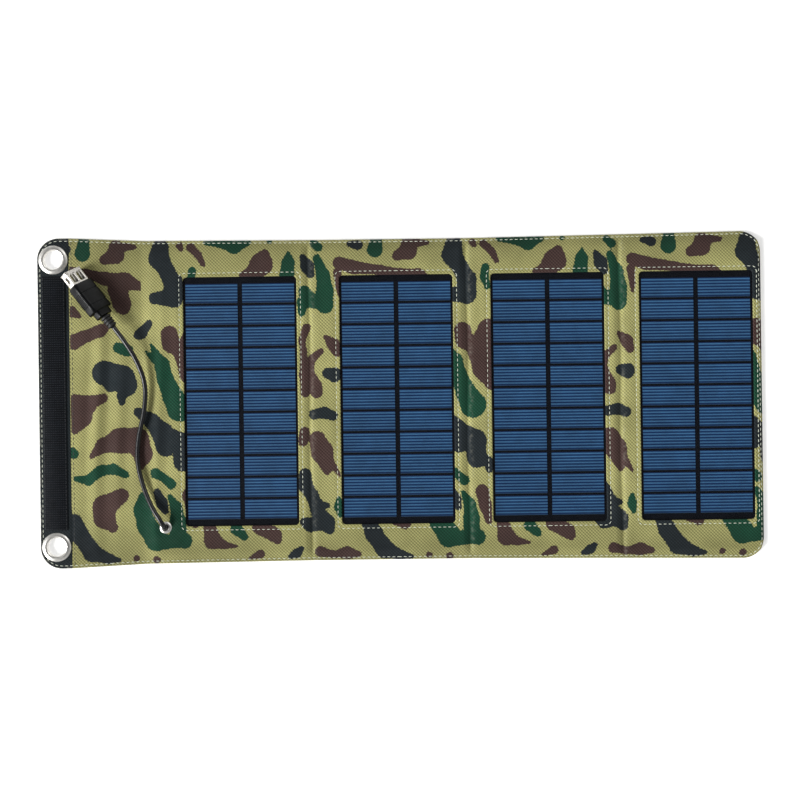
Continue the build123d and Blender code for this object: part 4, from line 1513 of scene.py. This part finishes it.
class Insides:
    """The laminates, cells, wiring and boards, which keep their own shapes."""

    def __init__(self, frame: dict, finishes: Finishes) -> None:
        """Pair each kind of node with its finish."""
        self.nodes = frame["nodes"]
        self.kinds = {
            "stiffener_board": finishes.board,
            "laminate_base": finishes.laminate,
            "cell_strips": finishes.cell,
            "clear_film": finishes.film,
            "collector_ribbons": finishes.tin,
            "wires": finishes.tin,
            "output_lead": finishes.tin,
            "eyelet_washer": finishes.nickel,
            "cord_anchor": finishes.rubber,
            "connector_insulator": finishes.tongue,
            "connector_contacts": finishes.brass,
            "connector_board": finishes.circuit,
            "regulator_parts": finishes.plastic,
        }

    def dress(self) -> int:
        """Give each of these nodes its finish, and return how many there are."""
        dressed = 0
        for name, node in self.nodes.items():
            kind = next((kind for kind in self.kinds if name.endswith(kind)), None)
            if kind is None:
                continue
            node.data.materials.clear()
            node.data.materials.append(self.kinds[kind])
            dressed += 1
        return dressed


# --- fittings on the band ---


@dataclass
class Eyelets:
    """The two large eyelets of the band and the small one that the lead comes out of."""

    # Profiles as (radius, height), closed, from the bottom of the barrel up the bore and over.
    large: tuple[tuple[float, float], ...] = (
        (5.9, 0.45), (5.9, 2.85), (6.0, 3.25), (6.3, 3.55), (6.85, 3.7), (7.6, 3.62),
        (8.35, 3.3), (8.95, 2.92), (9.25, 2.62), (9.3, 2.45), (9.15, 2.36), (8.7, 2.42),
        (7.6, 2.7), (6.5, 2.62), (6.45, 0.45),
    )
    small: tuple[tuple[float, float], ...] = (
        (1.7, 3.3), (1.7, 4.9), (1.85, 5.22), (2.3, 5.4), (2.9, 5.3), (3.5, 5.02), (3.85, 4.76),
        (3.9, 4.62), (3.4, 4.62), (2.25, 4.7), (2.2, 3.3),
    )

    @staticmethod
    def turn(
        name: str, node: str, body: str, profile: tuple, finish: Material
    ) -> Piece:
        """Turn one eyelet's closed profile in the place of its node, riding on a body."""
        points, faces = lathe(list(profile))
        points = points + [*middle_of(node), 0.0]
        piece = sharpen(add_mesh(name, points, faces, finish), 50.0)
        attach(piece, body)
        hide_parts(node)
        return piece

    def build(self, finishes: Finishes) -> list[Piece]:
        """Make the three eyelets."""
        kinds = (
            ("upper_band_eyelet", "upper_eyelet", "closure_band", self.large),
            ("lower_band_eyelet", "lower_eyelet", "closure_band", self.large),
            ("lead_eyelet", "cable_eyelet", "section_1", self.small),
        )
        return [self.turn(*kind, finishes.nickel) for kind in kinds]


@dataclass
class ClosureStrips:
    """The hook strip on the band and the loop strip behind the second section."""

    # The tape's thickness and its corners.
    tape: float = 0.6
    corner: float = 0.8
    # The hooks' spacing, radius and wire, and how far they stay inside the tape's edges.
    hook_pitch: float = 1.45
    hook_radius: float = 0.42
    hook_wire: float = 0.12
    hook_inset: float = 1.0
    # How high over the tape a hook's centre is, as a share of its radius.
    hook_lift: float = 0.7
    # Where a hook's arc starts and how far it goes, in degrees, and how much hooks are twisted.
    hook_arc: tuple[float, float] = (-50.0, 235.0)
    hook_twist: float = 0.4
    # The loops' number for each square millimetre, and the same sizes as the hooks'.
    loops_per_square: float = 0.55
    loop_radius: float = 0.34
    loop_wire: float = 0.072
    loop_inset: float = 0.8
    loop_arc: tuple[float, float] = (-20.0, 220.0)
    # Stitches along the tape's long edges.
    stitch: Stitch = Stitch(pitch=2.6, length=1.9, thickness=0.3)
    stitch_inset: float = 0.75
    stitch_end: float = 1.5
    seed: int = 7

    def tape_piece(
        self, name: str, node: str, up: bool, finish: Material
    ) -> Piece:
        """The woven tape that carries hooks, facing up, or loops, facing down."""
        low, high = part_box(node)
        width, length = (high.x - low.x) / MM, (high.y - low.y) / MM
        base = low.z / MM if up else high.z / MM
        sign = 1 if up else -1
        rings = []
        for inset, rise in ((0.0, 0.0), (0.0, self.tape - 0.15), (0.2, self.tape)):
            loop = round_loop(width - 2 * inset, length - 2 * inset, self.corner)
            loop = loop + middle_of(node)
            rings.append(np.column_stack([loop, np.full(len(loop), base + sign * rise)]))
        piece = sharpen(add_mesh(name, *loft(rings), finish))
        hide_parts(node)
        return piece

    @staticmethod
    def bent_wire(
        rig: NodeRig, span: tuple[float, float], turn: float
    ) -> Output:
        """A tube of few faces along an arc: its start and sweep in degrees, stood up by a turn."""
        entry = rig.entry.outputs
        start, sweep = (math.radians(angle) for angle in span)
        arc = rig.add(
            "GeometryNodeCurveArc",
            {"Resolution": 6, "Radius": entry["Bend"], "Start Angle": start, "Sweep Angle": sweep},
            mode="RADIUS",
        )
        ring = rig.add("GeometryNodeCurvePrimitiveCircle", {"Resolution": 4, "Radius": entry["Wire"]})
        tube = rig.add(
            "GeometryNodeCurveToMesh",
            {"Curve": arc.outputs[0], "Profile Curve": ring.outputs[0], "Fill Caps": True},
        )
        upright = rig.add(
            "GeometryNodeTransform", {"Geometry": tube.outputs[0], "Rotation": (turn, 0, 0)}
        )
        return upright.outputs[0]

    def scattered(
        self, rig: NodeRig, points: Output, shape: Output, twist: float
    ) -> Output:
        """The shape on every point, each turned at random about Z."""
        turn = rig.add(
            "FunctionNodeRandomValue",
            {"Min": (0, 0, -twist), "Max": (0, 0, twist), "Seed": self.seed},
            data_type="FLOAT_VECTOR",
        )
        placed = rig.add(
            "GeometryNodeInstanceOnPoints",
            {"Points": points, "Instance": shape, "Rotation": turn.outputs[0]},
        )
        return placed.outputs[0]

    def hooks(self, finish: Material) -> Piece:
        """Rows of hooks on the tape."""
        low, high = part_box("hook_strip")
        inset = self.hook_inset * MM
        width, length = high.x - low.x - 2 * inset, high.y - low.y - 2 * inset
        pitch = self.hook_pitch * MM
        rig = NodeRig(
            "hook_rows",
            {
                "Width": ("NodeSocketFloat", width),
                "Length": ("NodeSocketFloat", length),
                "Across": ("NodeSocketInt", round(width / pitch) + 1),
                "Along": ("NodeSocketInt", round(length / pitch) + 1),
                "Bend": ("NodeSocketFloat", self.hook_radius * MM),
                "Wire": ("NodeSocketFloat", self.hook_wire * MM),
                "Finish": ("NodeSocketMaterial", finish),
            },
        )
        entry = rig.entry.outputs
        rows = rig.add(
            "GeometryNodeMeshGrid",
            {
                "Size X": entry["Width"],
                "Size Y": entry["Length"],
                "Vertices X": entry["Across"],
                "Vertices Y": entry["Along"],
            },
        )
        level = low.z + (self.tape + self.hook_radius * self.hook_lift) * MM
        centre = (*(middle_of("hook_strip") * MM), level)
        placed = rig.add(
            "GeometryNodeTransform", {"Geometry": rows.outputs[0], "Translation": centre}
        )
        hook = self.bent_wire(rig, self.hook_arc, math.pi / 2)
        rig.finish(self.scattered(rig, placed.outputs[0], hook, self.hook_twist))
        return rig.run("hooks", guide_mesh("hooks_guide", [np.zeros((1, 3))]))

    def loops(self, finish: Material) -> Piece:
        """A nap of small loops under the tape."""
        low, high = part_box("loop_strip")
        level = high.z - self.tape * MM
        rig = NodeRig(
            "loop_nap",
            {
                "Density": ("NodeSocketFloat", self.loops_per_square / MM**2),
                "Seed": ("NodeSocketInt", self.seed),
                "Bend": ("NodeSocketFloat", self.loop_radius * MM),
                "Wire": ("NodeSocketFloat", self.loop_wire * MM),
                "Finish": ("NodeSocketMaterial", finish),
            },
        )
        entry = rig.entry.outputs
        spread = rig.add(
            "GeometryNodeDistributePointsOnFaces",
            {"Mesh": entry["Geometry"], "Density": entry["Density"], "Seed": entry["Seed"]},
        )
        loop = self.bent_wire(rig, self.loop_arc, -math.pi / 2)
        rig.finish(self.scattered(rig, spread.outputs[0], loop, math.pi))
        mesh = bpy.data.meshes.new("loops_guide")
        inset = self.loop_inset * MM
        x0, x1, y0, y1 = low.x + inset, high.x - inset, low.y + inset, high.y - inset
        corners = [(x0, y0, level), (x1, y0, level), (x1, y1, level), (x0, y1, level)]
        mesh.from_pydata(corners, [], [(0, 1, 2, 3)])
        return rig.run("loops", add_object("loops_guide", mesh))

    def edge_stitches(
        self, name: str, node: str, z: float, finish: Material
    ) -> Piece:
        """The black stitches along a tape's long edges, at a height in millimetres."""
        low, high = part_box(node)
        ys = np.arange(low.y / MM + self.stitch_end, high.y / MM - self.stitch_end)
        runs = []
        for x in (low.x / MM + self.stitch_inset, high.x / MM - self.stitch_inset):
            runs.append(np.column_stack([np.full(ys.shape, x), ys, np.full(ys.shape, z)]))
        return self.stitch.sew(name, runs, finish)

    def build(self, finishes: Finishes) -> list[Piece]:
        """Make both strips, with their hooks, loops and stitches."""
        thread = finishes.dark_thread
        hook_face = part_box("hook_strip")[0].z / MM + self.tape
        loop_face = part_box("loop_strip")[1].z / MM - self.tape
        hook_side = [
            self.tape_piece("hook_tape", "hook_strip", True, finishes.nylon),
            self.hooks(finishes.hooks),
            self.edge_stitches("hook_tape_stitches", "hook_strip", hook_face, thread),
        ]
        loop_side = [
            self.tape_piece("loop_tape", "loop_strip", False, finishes.nylon),
            self.loops(finishes.nylon),
            self.edge_stitches("loop_tape_stitches", "loop_strip", loop_face, thread),
        ]
        for pieces, body in ((hook_side, "closure_band"), (loop_side, "section_2")):
            for piece in pieces:
                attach(piece, body)
        return hook_side + loop_side


# --- the output lead ---


@dataclass
class Lead:
    """The cord, from its anchor in the first section to the socket."""

    # The route, in metres, from the anchor's top up through the eyelet and along the flap.
    route: tuple[tuple[float, float, float], ...] = (
        (-0.1499, -0.0795, 0.0030), (-0.1499, -0.0795, 0.0086), (-0.1524, -0.0744, 0.0103),
        (-0.1578, -0.0664, 0.0086), (-0.1638, -0.0532, 0.0056), (-0.1676, -0.0380, 0.0044),
        (-0.1666, -0.0220, 0.0046), (-0.1620, -0.0056, 0.0064), (-0.1607, 0.0116, 0.0074),
        (-0.1662, 0.0270, 0.0090), (-0.1734, 0.0391, 0.0106), (-0.1802, 0.0480, 0.0106),
    )
    diameter: float = 3.0
    sides: int = 16
    # The cord's length, and the height at which it leaves the small eyelet, in metres.
    length: float = 0.1427
    exit_height: float = 0.0054
    line: Array = field(init=False)

    def centreline(self) -> Array:
        """Points in metres along the smooth curve that the route steers."""
        curve = bpy.data.curves.new("lead_route", "CURVE")
        curve.dimensions = "3D"
        curve.resolution_u = 16
        spline = curve.splines.new("NURBS")
        spline.points.add(len(self.route) - 1)
        for point, place in zip(spline.points, self.route):
            point.co = (*place, 1.0)
        spline.order_u = 3
        spline.use_endpoint_u = True
        holder = add_object("lead_route", curve)
        bpy.context.view_layer.update()
        mesh = bpy.data.meshes.new_from_object(holder)
        line = np.array([vertex.co for vertex in mesh.vertices])
        bpy.data.objects.remove(holder)
        bpy.data.meshes.remove(mesh)
        return line

    def tube(self, line: Array) -> tuple[Array, list]:
        """A round tube along points in millimetres."""
        tangents = np.gradient(line, axis=0)
        tangents /= np.linalg.norm(tangents, axis=1)[:, None]
        across = np.array([1.0, 0.0, 0.0])
        angles = np.linspace(0, 2 * math.pi, self.sides, endpoint=False)
        rings = []
        for place, tangent in zip(line, tangents):
            across = across - tangent * np.dot(across, tangent)
            across /= np.linalg.norm(across)
            up = np.cross(tangent, across)
            ring = np.outer(np.cos(angles), across) + np.outer(np.sin(angles), up)
            rings.append(place + ring * self.diameter / 2)
        return loft(rings)

    def build(self, finishes: Finishes, layout: Layout) -> Piece:
        """Make the cord in place of the frame's cord."""
        self.line = self.centreline()
        cord = add_mesh("lead_cord", *self.tube(self.line / MM), finishes.jacket)
        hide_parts("cord")
        bend_piece(cord)
        LOG.info("lead_cord: %d faces", len(cord.data.polygons))
        return cord

    def declare(self, cord: Piece, carried: list) -> None:
        """Take the cord and the socket's pieces, and do nothing with them."""


@dataclass
class Socket:
    """The strain relief, moulded body and metal shell at the end of the lead."""

    lead: Lead
    # How far the socket leans on its side, in degrees.
    roll: float = 50.0
    # Places along it, from the end of the cord.
    relief_length: float = 8.5
    neck_end: float = 12.5
    body_end: float = 34.0
    # Width, height and corner radius of the neck, the body and the shell.
    neck: tuple[float, float, float] = (11.0, 7.0, 2.2)
    body: tuple[float, float, float] = (16.0, 8.5, 2.3)
    shell: tuple[float, float, float] = (13.1, 5.7, 0.7)
    # Grooves across the body: their places after the neck, and their shape.
    grooves: tuple[float, float] = (5.2, 14.6)
    groove_shape: tuple[tuple[float, float], ...] = (
        (-0.35, 0.0), (-0.2, -0.5), (0.2, -0.5), (0.35, 0.0),
    )
    # Beads of the grip: radius, spacing, and how many there are each way from the middle one.
    bead: float = 0.36
    bead_pitch: float = 0.95
    bead_columns: int = 4
    bead_rows: int = 3
    grip_middle: float = 9.9
    # The shell's wall, its sprung tabs, the slots beside them and those in its narrow sides.
    wall: float = 0.35
    tab_at: float = 2.9
    tab_half: float = 0.6
    tab_slot: float = 0.42
    tab_bend: float = 0.4
    side_slot: float = 0.55
    # Where the shell's rows of points lie, from inside the body to the flared mouth.
    rows: tuple[float, ...] = (
        30.0, 33.0, 34.6, 35.2, 35.8, 37.0, 38.2, 39.4, 40.4, 41.0, 42.3, 42.8, 43.2, 43.5, 43.7,
    )
    # The tabs and their slots are cut between these rows; the narrow sides' slots start later.
    slots_from: float = 35.2
    tab_end: float = 35.8
    slots_to: float = 41.0
    side_slots_from: float = 37.0
    flare: tuple[tuple[float, float], ...] = ((42.8, 0.03), (43.2, 0.12), (43.5, 0.24), (43.7, 0.36))

    def __post_init__(self) -> None:
        """Work out the socket's own axes from the end of the route."""
        end, before = Vector(self.lead.route[-1]), Vector(self.lead.route[-2])
        self.origin = np.array(end) / MM
        along = (end - before).normalized()
        right = along.cross(Vector((0, 0, 1)))
        sine, cosine = math.sin(math.radians(self.roll)), math.cos(math.radians(self.roll))
        wide = Vector((0, 0, sine)) - right * cosine
        thin = Vector((0, 0, cosine)) + right * sine
        self.axes = np.array([along, wide, thin])

    def place(self, local: Array) -> Array:
        """Points given along the lead, across the wide way and across the thin way, in the frame."""
        return self.origin + np.asarray(local, float) @ self.axes

    def slab(self, s: float, width: float, height: float, corner: float) -> Array:
        """A cross-section of the socket, s along the lead."""
        loop = round_loop(width, height, corner, 6)
        return self.place(np.column_stack([np.full(len(loop), s), loop]))

    def moulding(self, finish: Material) -> Piece:
        """The neck and body, moulded in one, with a groove at each end of the grip."""
        (nw, nh, nr), (bw, bh, br) = self.neck, self.body
        start, end = self.neck_end, self.body_end
        rows = [
            # Each row's place, width, height and corner radius.
            (self.relief_length - 0.1, nw - 1.0, nh - 1.0, nr - 0.4),
            (self.relief_length + 0.3, nw, nh, nr),
            (start - 0.1, nw, nh, nr),
            (start, nw + 0.1, nh + 0.1, nr),
            (start + 0.05, bw - 1.6, bh - 1.4, br - 0.5),
            (start + 0.35, bw - 0.5, bh - 0.5, br),
            (start + 0.9, bw, bh, br),
        ]
        for groove in self.grooves:
            for shift, out in self.groove_shape:
                rows.append((start + groove + shift, bw + out, bh + out, br))
        rows += [
            (end - 0.8, bw, bh, br),
            (end - 0.25, bw - 0.5, bh - 0.5, br),
            (end, bw - 1.5, bh - 1.5, br - 0.5),
        ]
        points, faces = loft([self.slab(*row) for row in rows])
        piece = sharpen(add_mesh("socket_moulding", points, faces, finish), 40.0)
        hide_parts("connector_overmold")
        return piece

    def grip(self, finish: Material) -> Piece:
        """Small raised beads in rows on the body's two narrow sides."""
        rig = NodeRig(
            "grip_beads",
            {
                "Radius": ("NodeSocketFloat", self.bead * MM),
                "Finish": ("NodeSocketMaterial", finish),
            },
        )
        entry = rig.entry.outputs
        bead = rig.add(
            "GeometryNodeMeshUVSphere", {"Segments": 8, "Rings": 6, "Radius": entry["Radius"]}
        )
        placed = rig.add(
            "GeometryNodeInstanceOnPoints", {"Points": entry["Geometry"], "Instance": bead.outputs[0]}
        )
        rig.finish(placed.outputs[0])
        middle, half = self.neck_end + self.grip_middle, self.body[0] / 2 - 0.1
        places = [
            (middle + self.bead_pitch * column, side * half, self.bead_pitch * row)
            for side in (-1, 1)
            for column in range(-self.bead_columns, self.bead_columns + 1)
            for row in range(-self.bead_rows, self.bead_rows + 1)
        ]
        guide = guide_mesh("grip_guide", [self.place(np.array([place])) for place in places])
        piece = rig.run("socket_grip_beads", guide)
        return piece

    def relief(self, finish: Material) -> Piece:
        """The ribbed sleeve that the cord comes out of."""
        # The profile, as places along the sleeve and radii; the ribs grow towards the socket.
        profile = [(0.0, 1.55), (0.05, 2.1), (0.35, 2.55)]
        for rib in range(4):
            start, crest, valley = 0.5 + 2.0 * rib, 2.9 + 0.16 * rib, 2.2
            shoulder = crest - 0.25
            profile += [(start, shoulder), (start + 0.2, crest), (start + 1.1, crest)]
            profile += [(start + 1.3, shoulder), (start + 1.35, valley), (start + 1.9, valley)]
        profile += [(8.6, 2.6), (8.7, 1.55)]
        rings = []
        angles = np.linspace(0, 2 * math.pi, 28, endpoint=False)
        for along, radius in profile:
            wide, thin = radius * np.cos(angles), radius * np.sin(angles)
            rings.append(self.place(np.column_stack([np.full(angles.shape, along), wide, thin])))
        piece = sharpen(add_mesh("strain_relief_sleeve", *loft(rings), finish), 40.0)
        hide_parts("strain_relief")
        return piece

    def shell_loop(self) -> Array:
        """The shell's cross-section, with points at the edges of every tab and slot."""
        width, height, corner = self.shell
        outer = self.tab_half + self.tab_slot
        cuts = [0.0]
        for side in (-1, 1):
            for edge in (-outer, -self.tab_half, self.tab_half, outer):
                cuts.append(side * self.tab_at + edge)
        arc = [(corner * math.cos(a), corner * math.sin(a)) for a in np.radians(np.arange(0, 91, 15))]
        quarter = [(width / 2 - corner + dx, height / 2 - corner + dy) for dx, dy in arc]
        flat = [(cut, height / 2) for cut in sorted(cuts, reverse=True)]
        top = [*quarter, *flat, *[(-x, y) for x, y in reversed(quarter)]]
        half = [*top, (-width / 2, self.side_slot), (-width / 2, -self.side_slot)]
        return np.array([*half, *[(-x, -y) for x, y in half]])

    def is_open(self, middle: Array, near: float, far: float) -> bool:
        """Whether the shell is cut away at a place of its cross-section, between two rows."""
        off_tab = abs(abs(middle[0]) - self.tab_at)
        on_wide_face = abs(middle[1]) > self.shell[1] / 2 - SLACK
        beside = self.tab_half < off_tab < self.tab_half + self.tab_slot
        beside = beside and self.slots_from <= near and far <= self.slots_to
        ahead = off_tab < self.tab_half and near == self.slots_from
        in_side = abs(middle[1]) < SLACK and self.side_slots_from <= near and far <= self.slots_to
        return in_side or (on_wide_face and (beside or ahead))

    def shell_piece(self, finish: Material) -> Piece:
        """The folded metal shell, with two sprung tabs cut free in each wide face."""
        _, height, _ = self.shell
        loop = self.shell_loop()
        flare = dict(self.flare)
        grid = np.zeros((len(self.rows), len(loop), 3))
        for row, place in enumerate(self.rows):
            grid[row, :, 0] = place
            grid[row, :, 1:] = loop * (1 + 2 * flare.get(place, 0.0) / np.array(self.shell[:2]))
        count, faces = len(loop), []
        for row, (near, far) in enumerate(zip(self.rows, self.rows[1:])):
            for i in range(count):
                j = (i + 1) % count
                if not self.is_open((loop[i] + loop[j]) / 2, near, far):
                    low, high = row * count, (row + 1) * count
                    faces.append((low + i, high + i, high + j, low + j))
        on_tab = np.abs(np.abs(loop[:, 0]) - self.tab_at) < self.tab_half + SLACK
        on_tab &= np.abs(loop[:, 1]) > height / 2 - SLACK
        reach = self.slots_to - self.tab_end
        for row, place in enumerate(self.rows):
            if self.tab_end <= place < self.slots_to:
                bend = self.tab_bend * ((self.slots_to - place) / reach) ** 1.5
                grid[row, on_tab, 2] -= np.sign(loop[on_tab, 1]) * bend
        points = self.place(grid.reshape(-1, 3))
        piece = add_mesh("socket_shell", points, faces, finish, outward=False)
        piece.data.flip_normals()
        sharpen(piece, 40.0)
        wall = piece.modifiers.new("wall", "SOLIDIFY")
        wall.thickness = self.wall * MM
        wall.offset = -1.0
        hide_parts("connector_shell")
        return piece

    def build(self, finishes: Finishes) -> list[Piece]:
        """Make the socket's pieces; they move with the flap."""
        pieces = [
            self.relief(finishes.rubber),
            self.moulding(finishes.plastic),
            self.grip(finishes.plastic),
            self.shell_piece(finishes.steel),
        ]
        for piece in pieces:
            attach(piece, "flap")
            LOG.info("%s: %d faces", piece.name, len(piece.data.polygons))
        return pieces


# --- stand ---


@dataclass(frozen=True)
class Lamp:
    """A broad soft light; its height, heading and spread are in degrees."""

    name: str
    strength: float
    height: float
    heading: float
    spread: float


@dataclass
class Stand:
    """The camera straight above, the floor and the soft studio light."""

    # The camera's height in metres, its lens, its turn in radians and what it stands over.
    distance: float = 0.8
    lens: float = 56.45
    turn: float = -0.0134
    aim: tuple[float, float] = (-0.0003, -0.0006)
    near_clip: float = 0.01
    lamps: tuple[Lamp, ...] = (
        Lamp("key_light", 2.95, 36.0, 200.0, 22.0),
        Lamp("low_light", 1.1, 16.0, 217.0, 30.0),
        Lamp("fill_light", 0.35, 35.0, 50.0, 30.0),
    )
    # The sky's light at the horizon and overhead, and between which heights it fades.
    sky: float = 0.45
    sky_overhead: float = 0.1125
    fade_from: float = 0.5
    fade_to: float = 0.93
    # The floor reaches this many metres each way and glows a little.
    floor_reach: float = 30.0
    floor_glow: float = 0.45

    def camera(self) -> None:
        """Place the camera."""
        data = bpy.data.cameras.new("camera")
        data.lens = self.lens
        data.clip_start = self.near_clip
        camera = add_object("camera", data)
        camera.location = (*self.aim, self.distance)
        camera.rotation_euler = (0, 0, self.turn)
        bpy.context.scene.camera = camera

    def light(self, lamp: Lamp) -> None:
        """Hang one light."""
        data = bpy.data.lights.new(lamp.name, "SUN")
        data.energy = lamp.strength
        data.angle = math.radians(lamp.spread)
        light = add_object(lamp.name, data)
        light.rotation_euler = (0, math.radians(90 - lamp.height), math.radians(lamp.heading))
        light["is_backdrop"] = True

    def floor(self) -> None:
        """The pale floor."""
        white = (1.0, 1.0, 1.0, 1.0)
        shader = Shader("pale_floor")
        shader.set(
            Base_Color=(0.93, 0.93, 0.93, 1.0),
            Roughness=0.9,
            Specular_IOR_Level=0.1,
            Emission_Color=white,
            Emission_Strength=self.floor_glow,
        )
        mesh = bpy.data.meshes.new("floor")
        far = self.floor_reach
        mesh.from_pydata(
            [(-far, -far, 0), (far, -far, 0), (far, far, 0), (-far, far, 0)], [], [(0, 1, 2, 3)]
        )
        mesh.materials.append(shader.material)
        add_object("floor", mesh)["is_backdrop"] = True

    def world(self) -> None:
        """The white surroundings, darker overhead."""
        world = bpy.data.worlds.new("studio")
        world.use_nodes = True
        nodes, links = world.node_tree.nodes, world.node_tree.links
        background = nodes["Background"]
        background.inputs["Color"].default_value = (1.0, 1.0, 1.0, 1.0)
        height = nodes.new("ShaderNodeSeparateXYZ")
        links.new(nodes.new("ShaderNodeTexCoord").outputs["Generated"], height.inputs[0])
        fade = nodes.new("ShaderNodeMapRange")
        links.new(height.outputs["Z"], fade.inputs["Value"])
        fade.inputs["From Min"].default_value = self.fade_from
        fade.inputs["From Max"].default_value = self.fade_to
        fade.inputs["To Min"].default_value = self.sky
        fade.inputs["To Max"].default_value = self.sky_overhead
        links.new(fade.outputs[0], background.inputs["Strength"])
        bpy.context.scene.world = world
        bpy.context.scene.view_settings.view_transform = "Standard"

    def build(self) -> None:
        """Set up the stand."""
        self.camera()
        self.floor()
        for lamp in self.lamps:
            self.light(lamp)
        self.world()


def plain(bounds: object) -> object:
    """Bounds as plain lists of numbers."""
    return [plain(part) for part in bounds] if hasattr(bounds, "__len__") else float(bounds)


def main() -> None:
    """Build the charger round the frame, in order."""
    logging.basicConfig(level=logging.INFO, format="%(name)s: %(message)s")
    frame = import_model()
    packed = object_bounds()
    layout = Layout(frame)
    finishes = Finishes(ROW_PITCH)

    Stand().build()
    lead = Lead()
    cord = lead.build(finishes, layout)
    socket = Socket(lead).build(finishes)
    inside = ("connector_insulator", "connector_contacts", "connector_board", "regulator_parts")
    lead.declare(cord, [*socket, *[frame["nodes"][name] for name in inside]])

    camouflage = CamouflagePrint()
    for side in Side:
        cloth = Cloth(layout, side)
        finish = finishes.front if side is Side.FRONT else finishes.back
        sheets = cloth.build(finish, camouflage)
        stitches = Seams(cloth).build(finishes)
        for part in panels(layout):
            flat, area = cloth.flat_area(part)

    padding = Padding(layout)
    for number in SECTIONS:
        padding.foam(number, finishes.foam)
    padding.liner(finishes.liner)
    LOG.info("nodes dressed: %d", Insides(frame, finishes).dress())
    for piece in [*Eyelets().build(finishes), *ClosureStrips().build(finishes)]:
        LOG.info("%s: %d faces", piece.name, len(piece.data.polygons))

    {"packed": plain(packed), "visual": plain(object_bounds())}


if __name__ == "__main__":
    main()
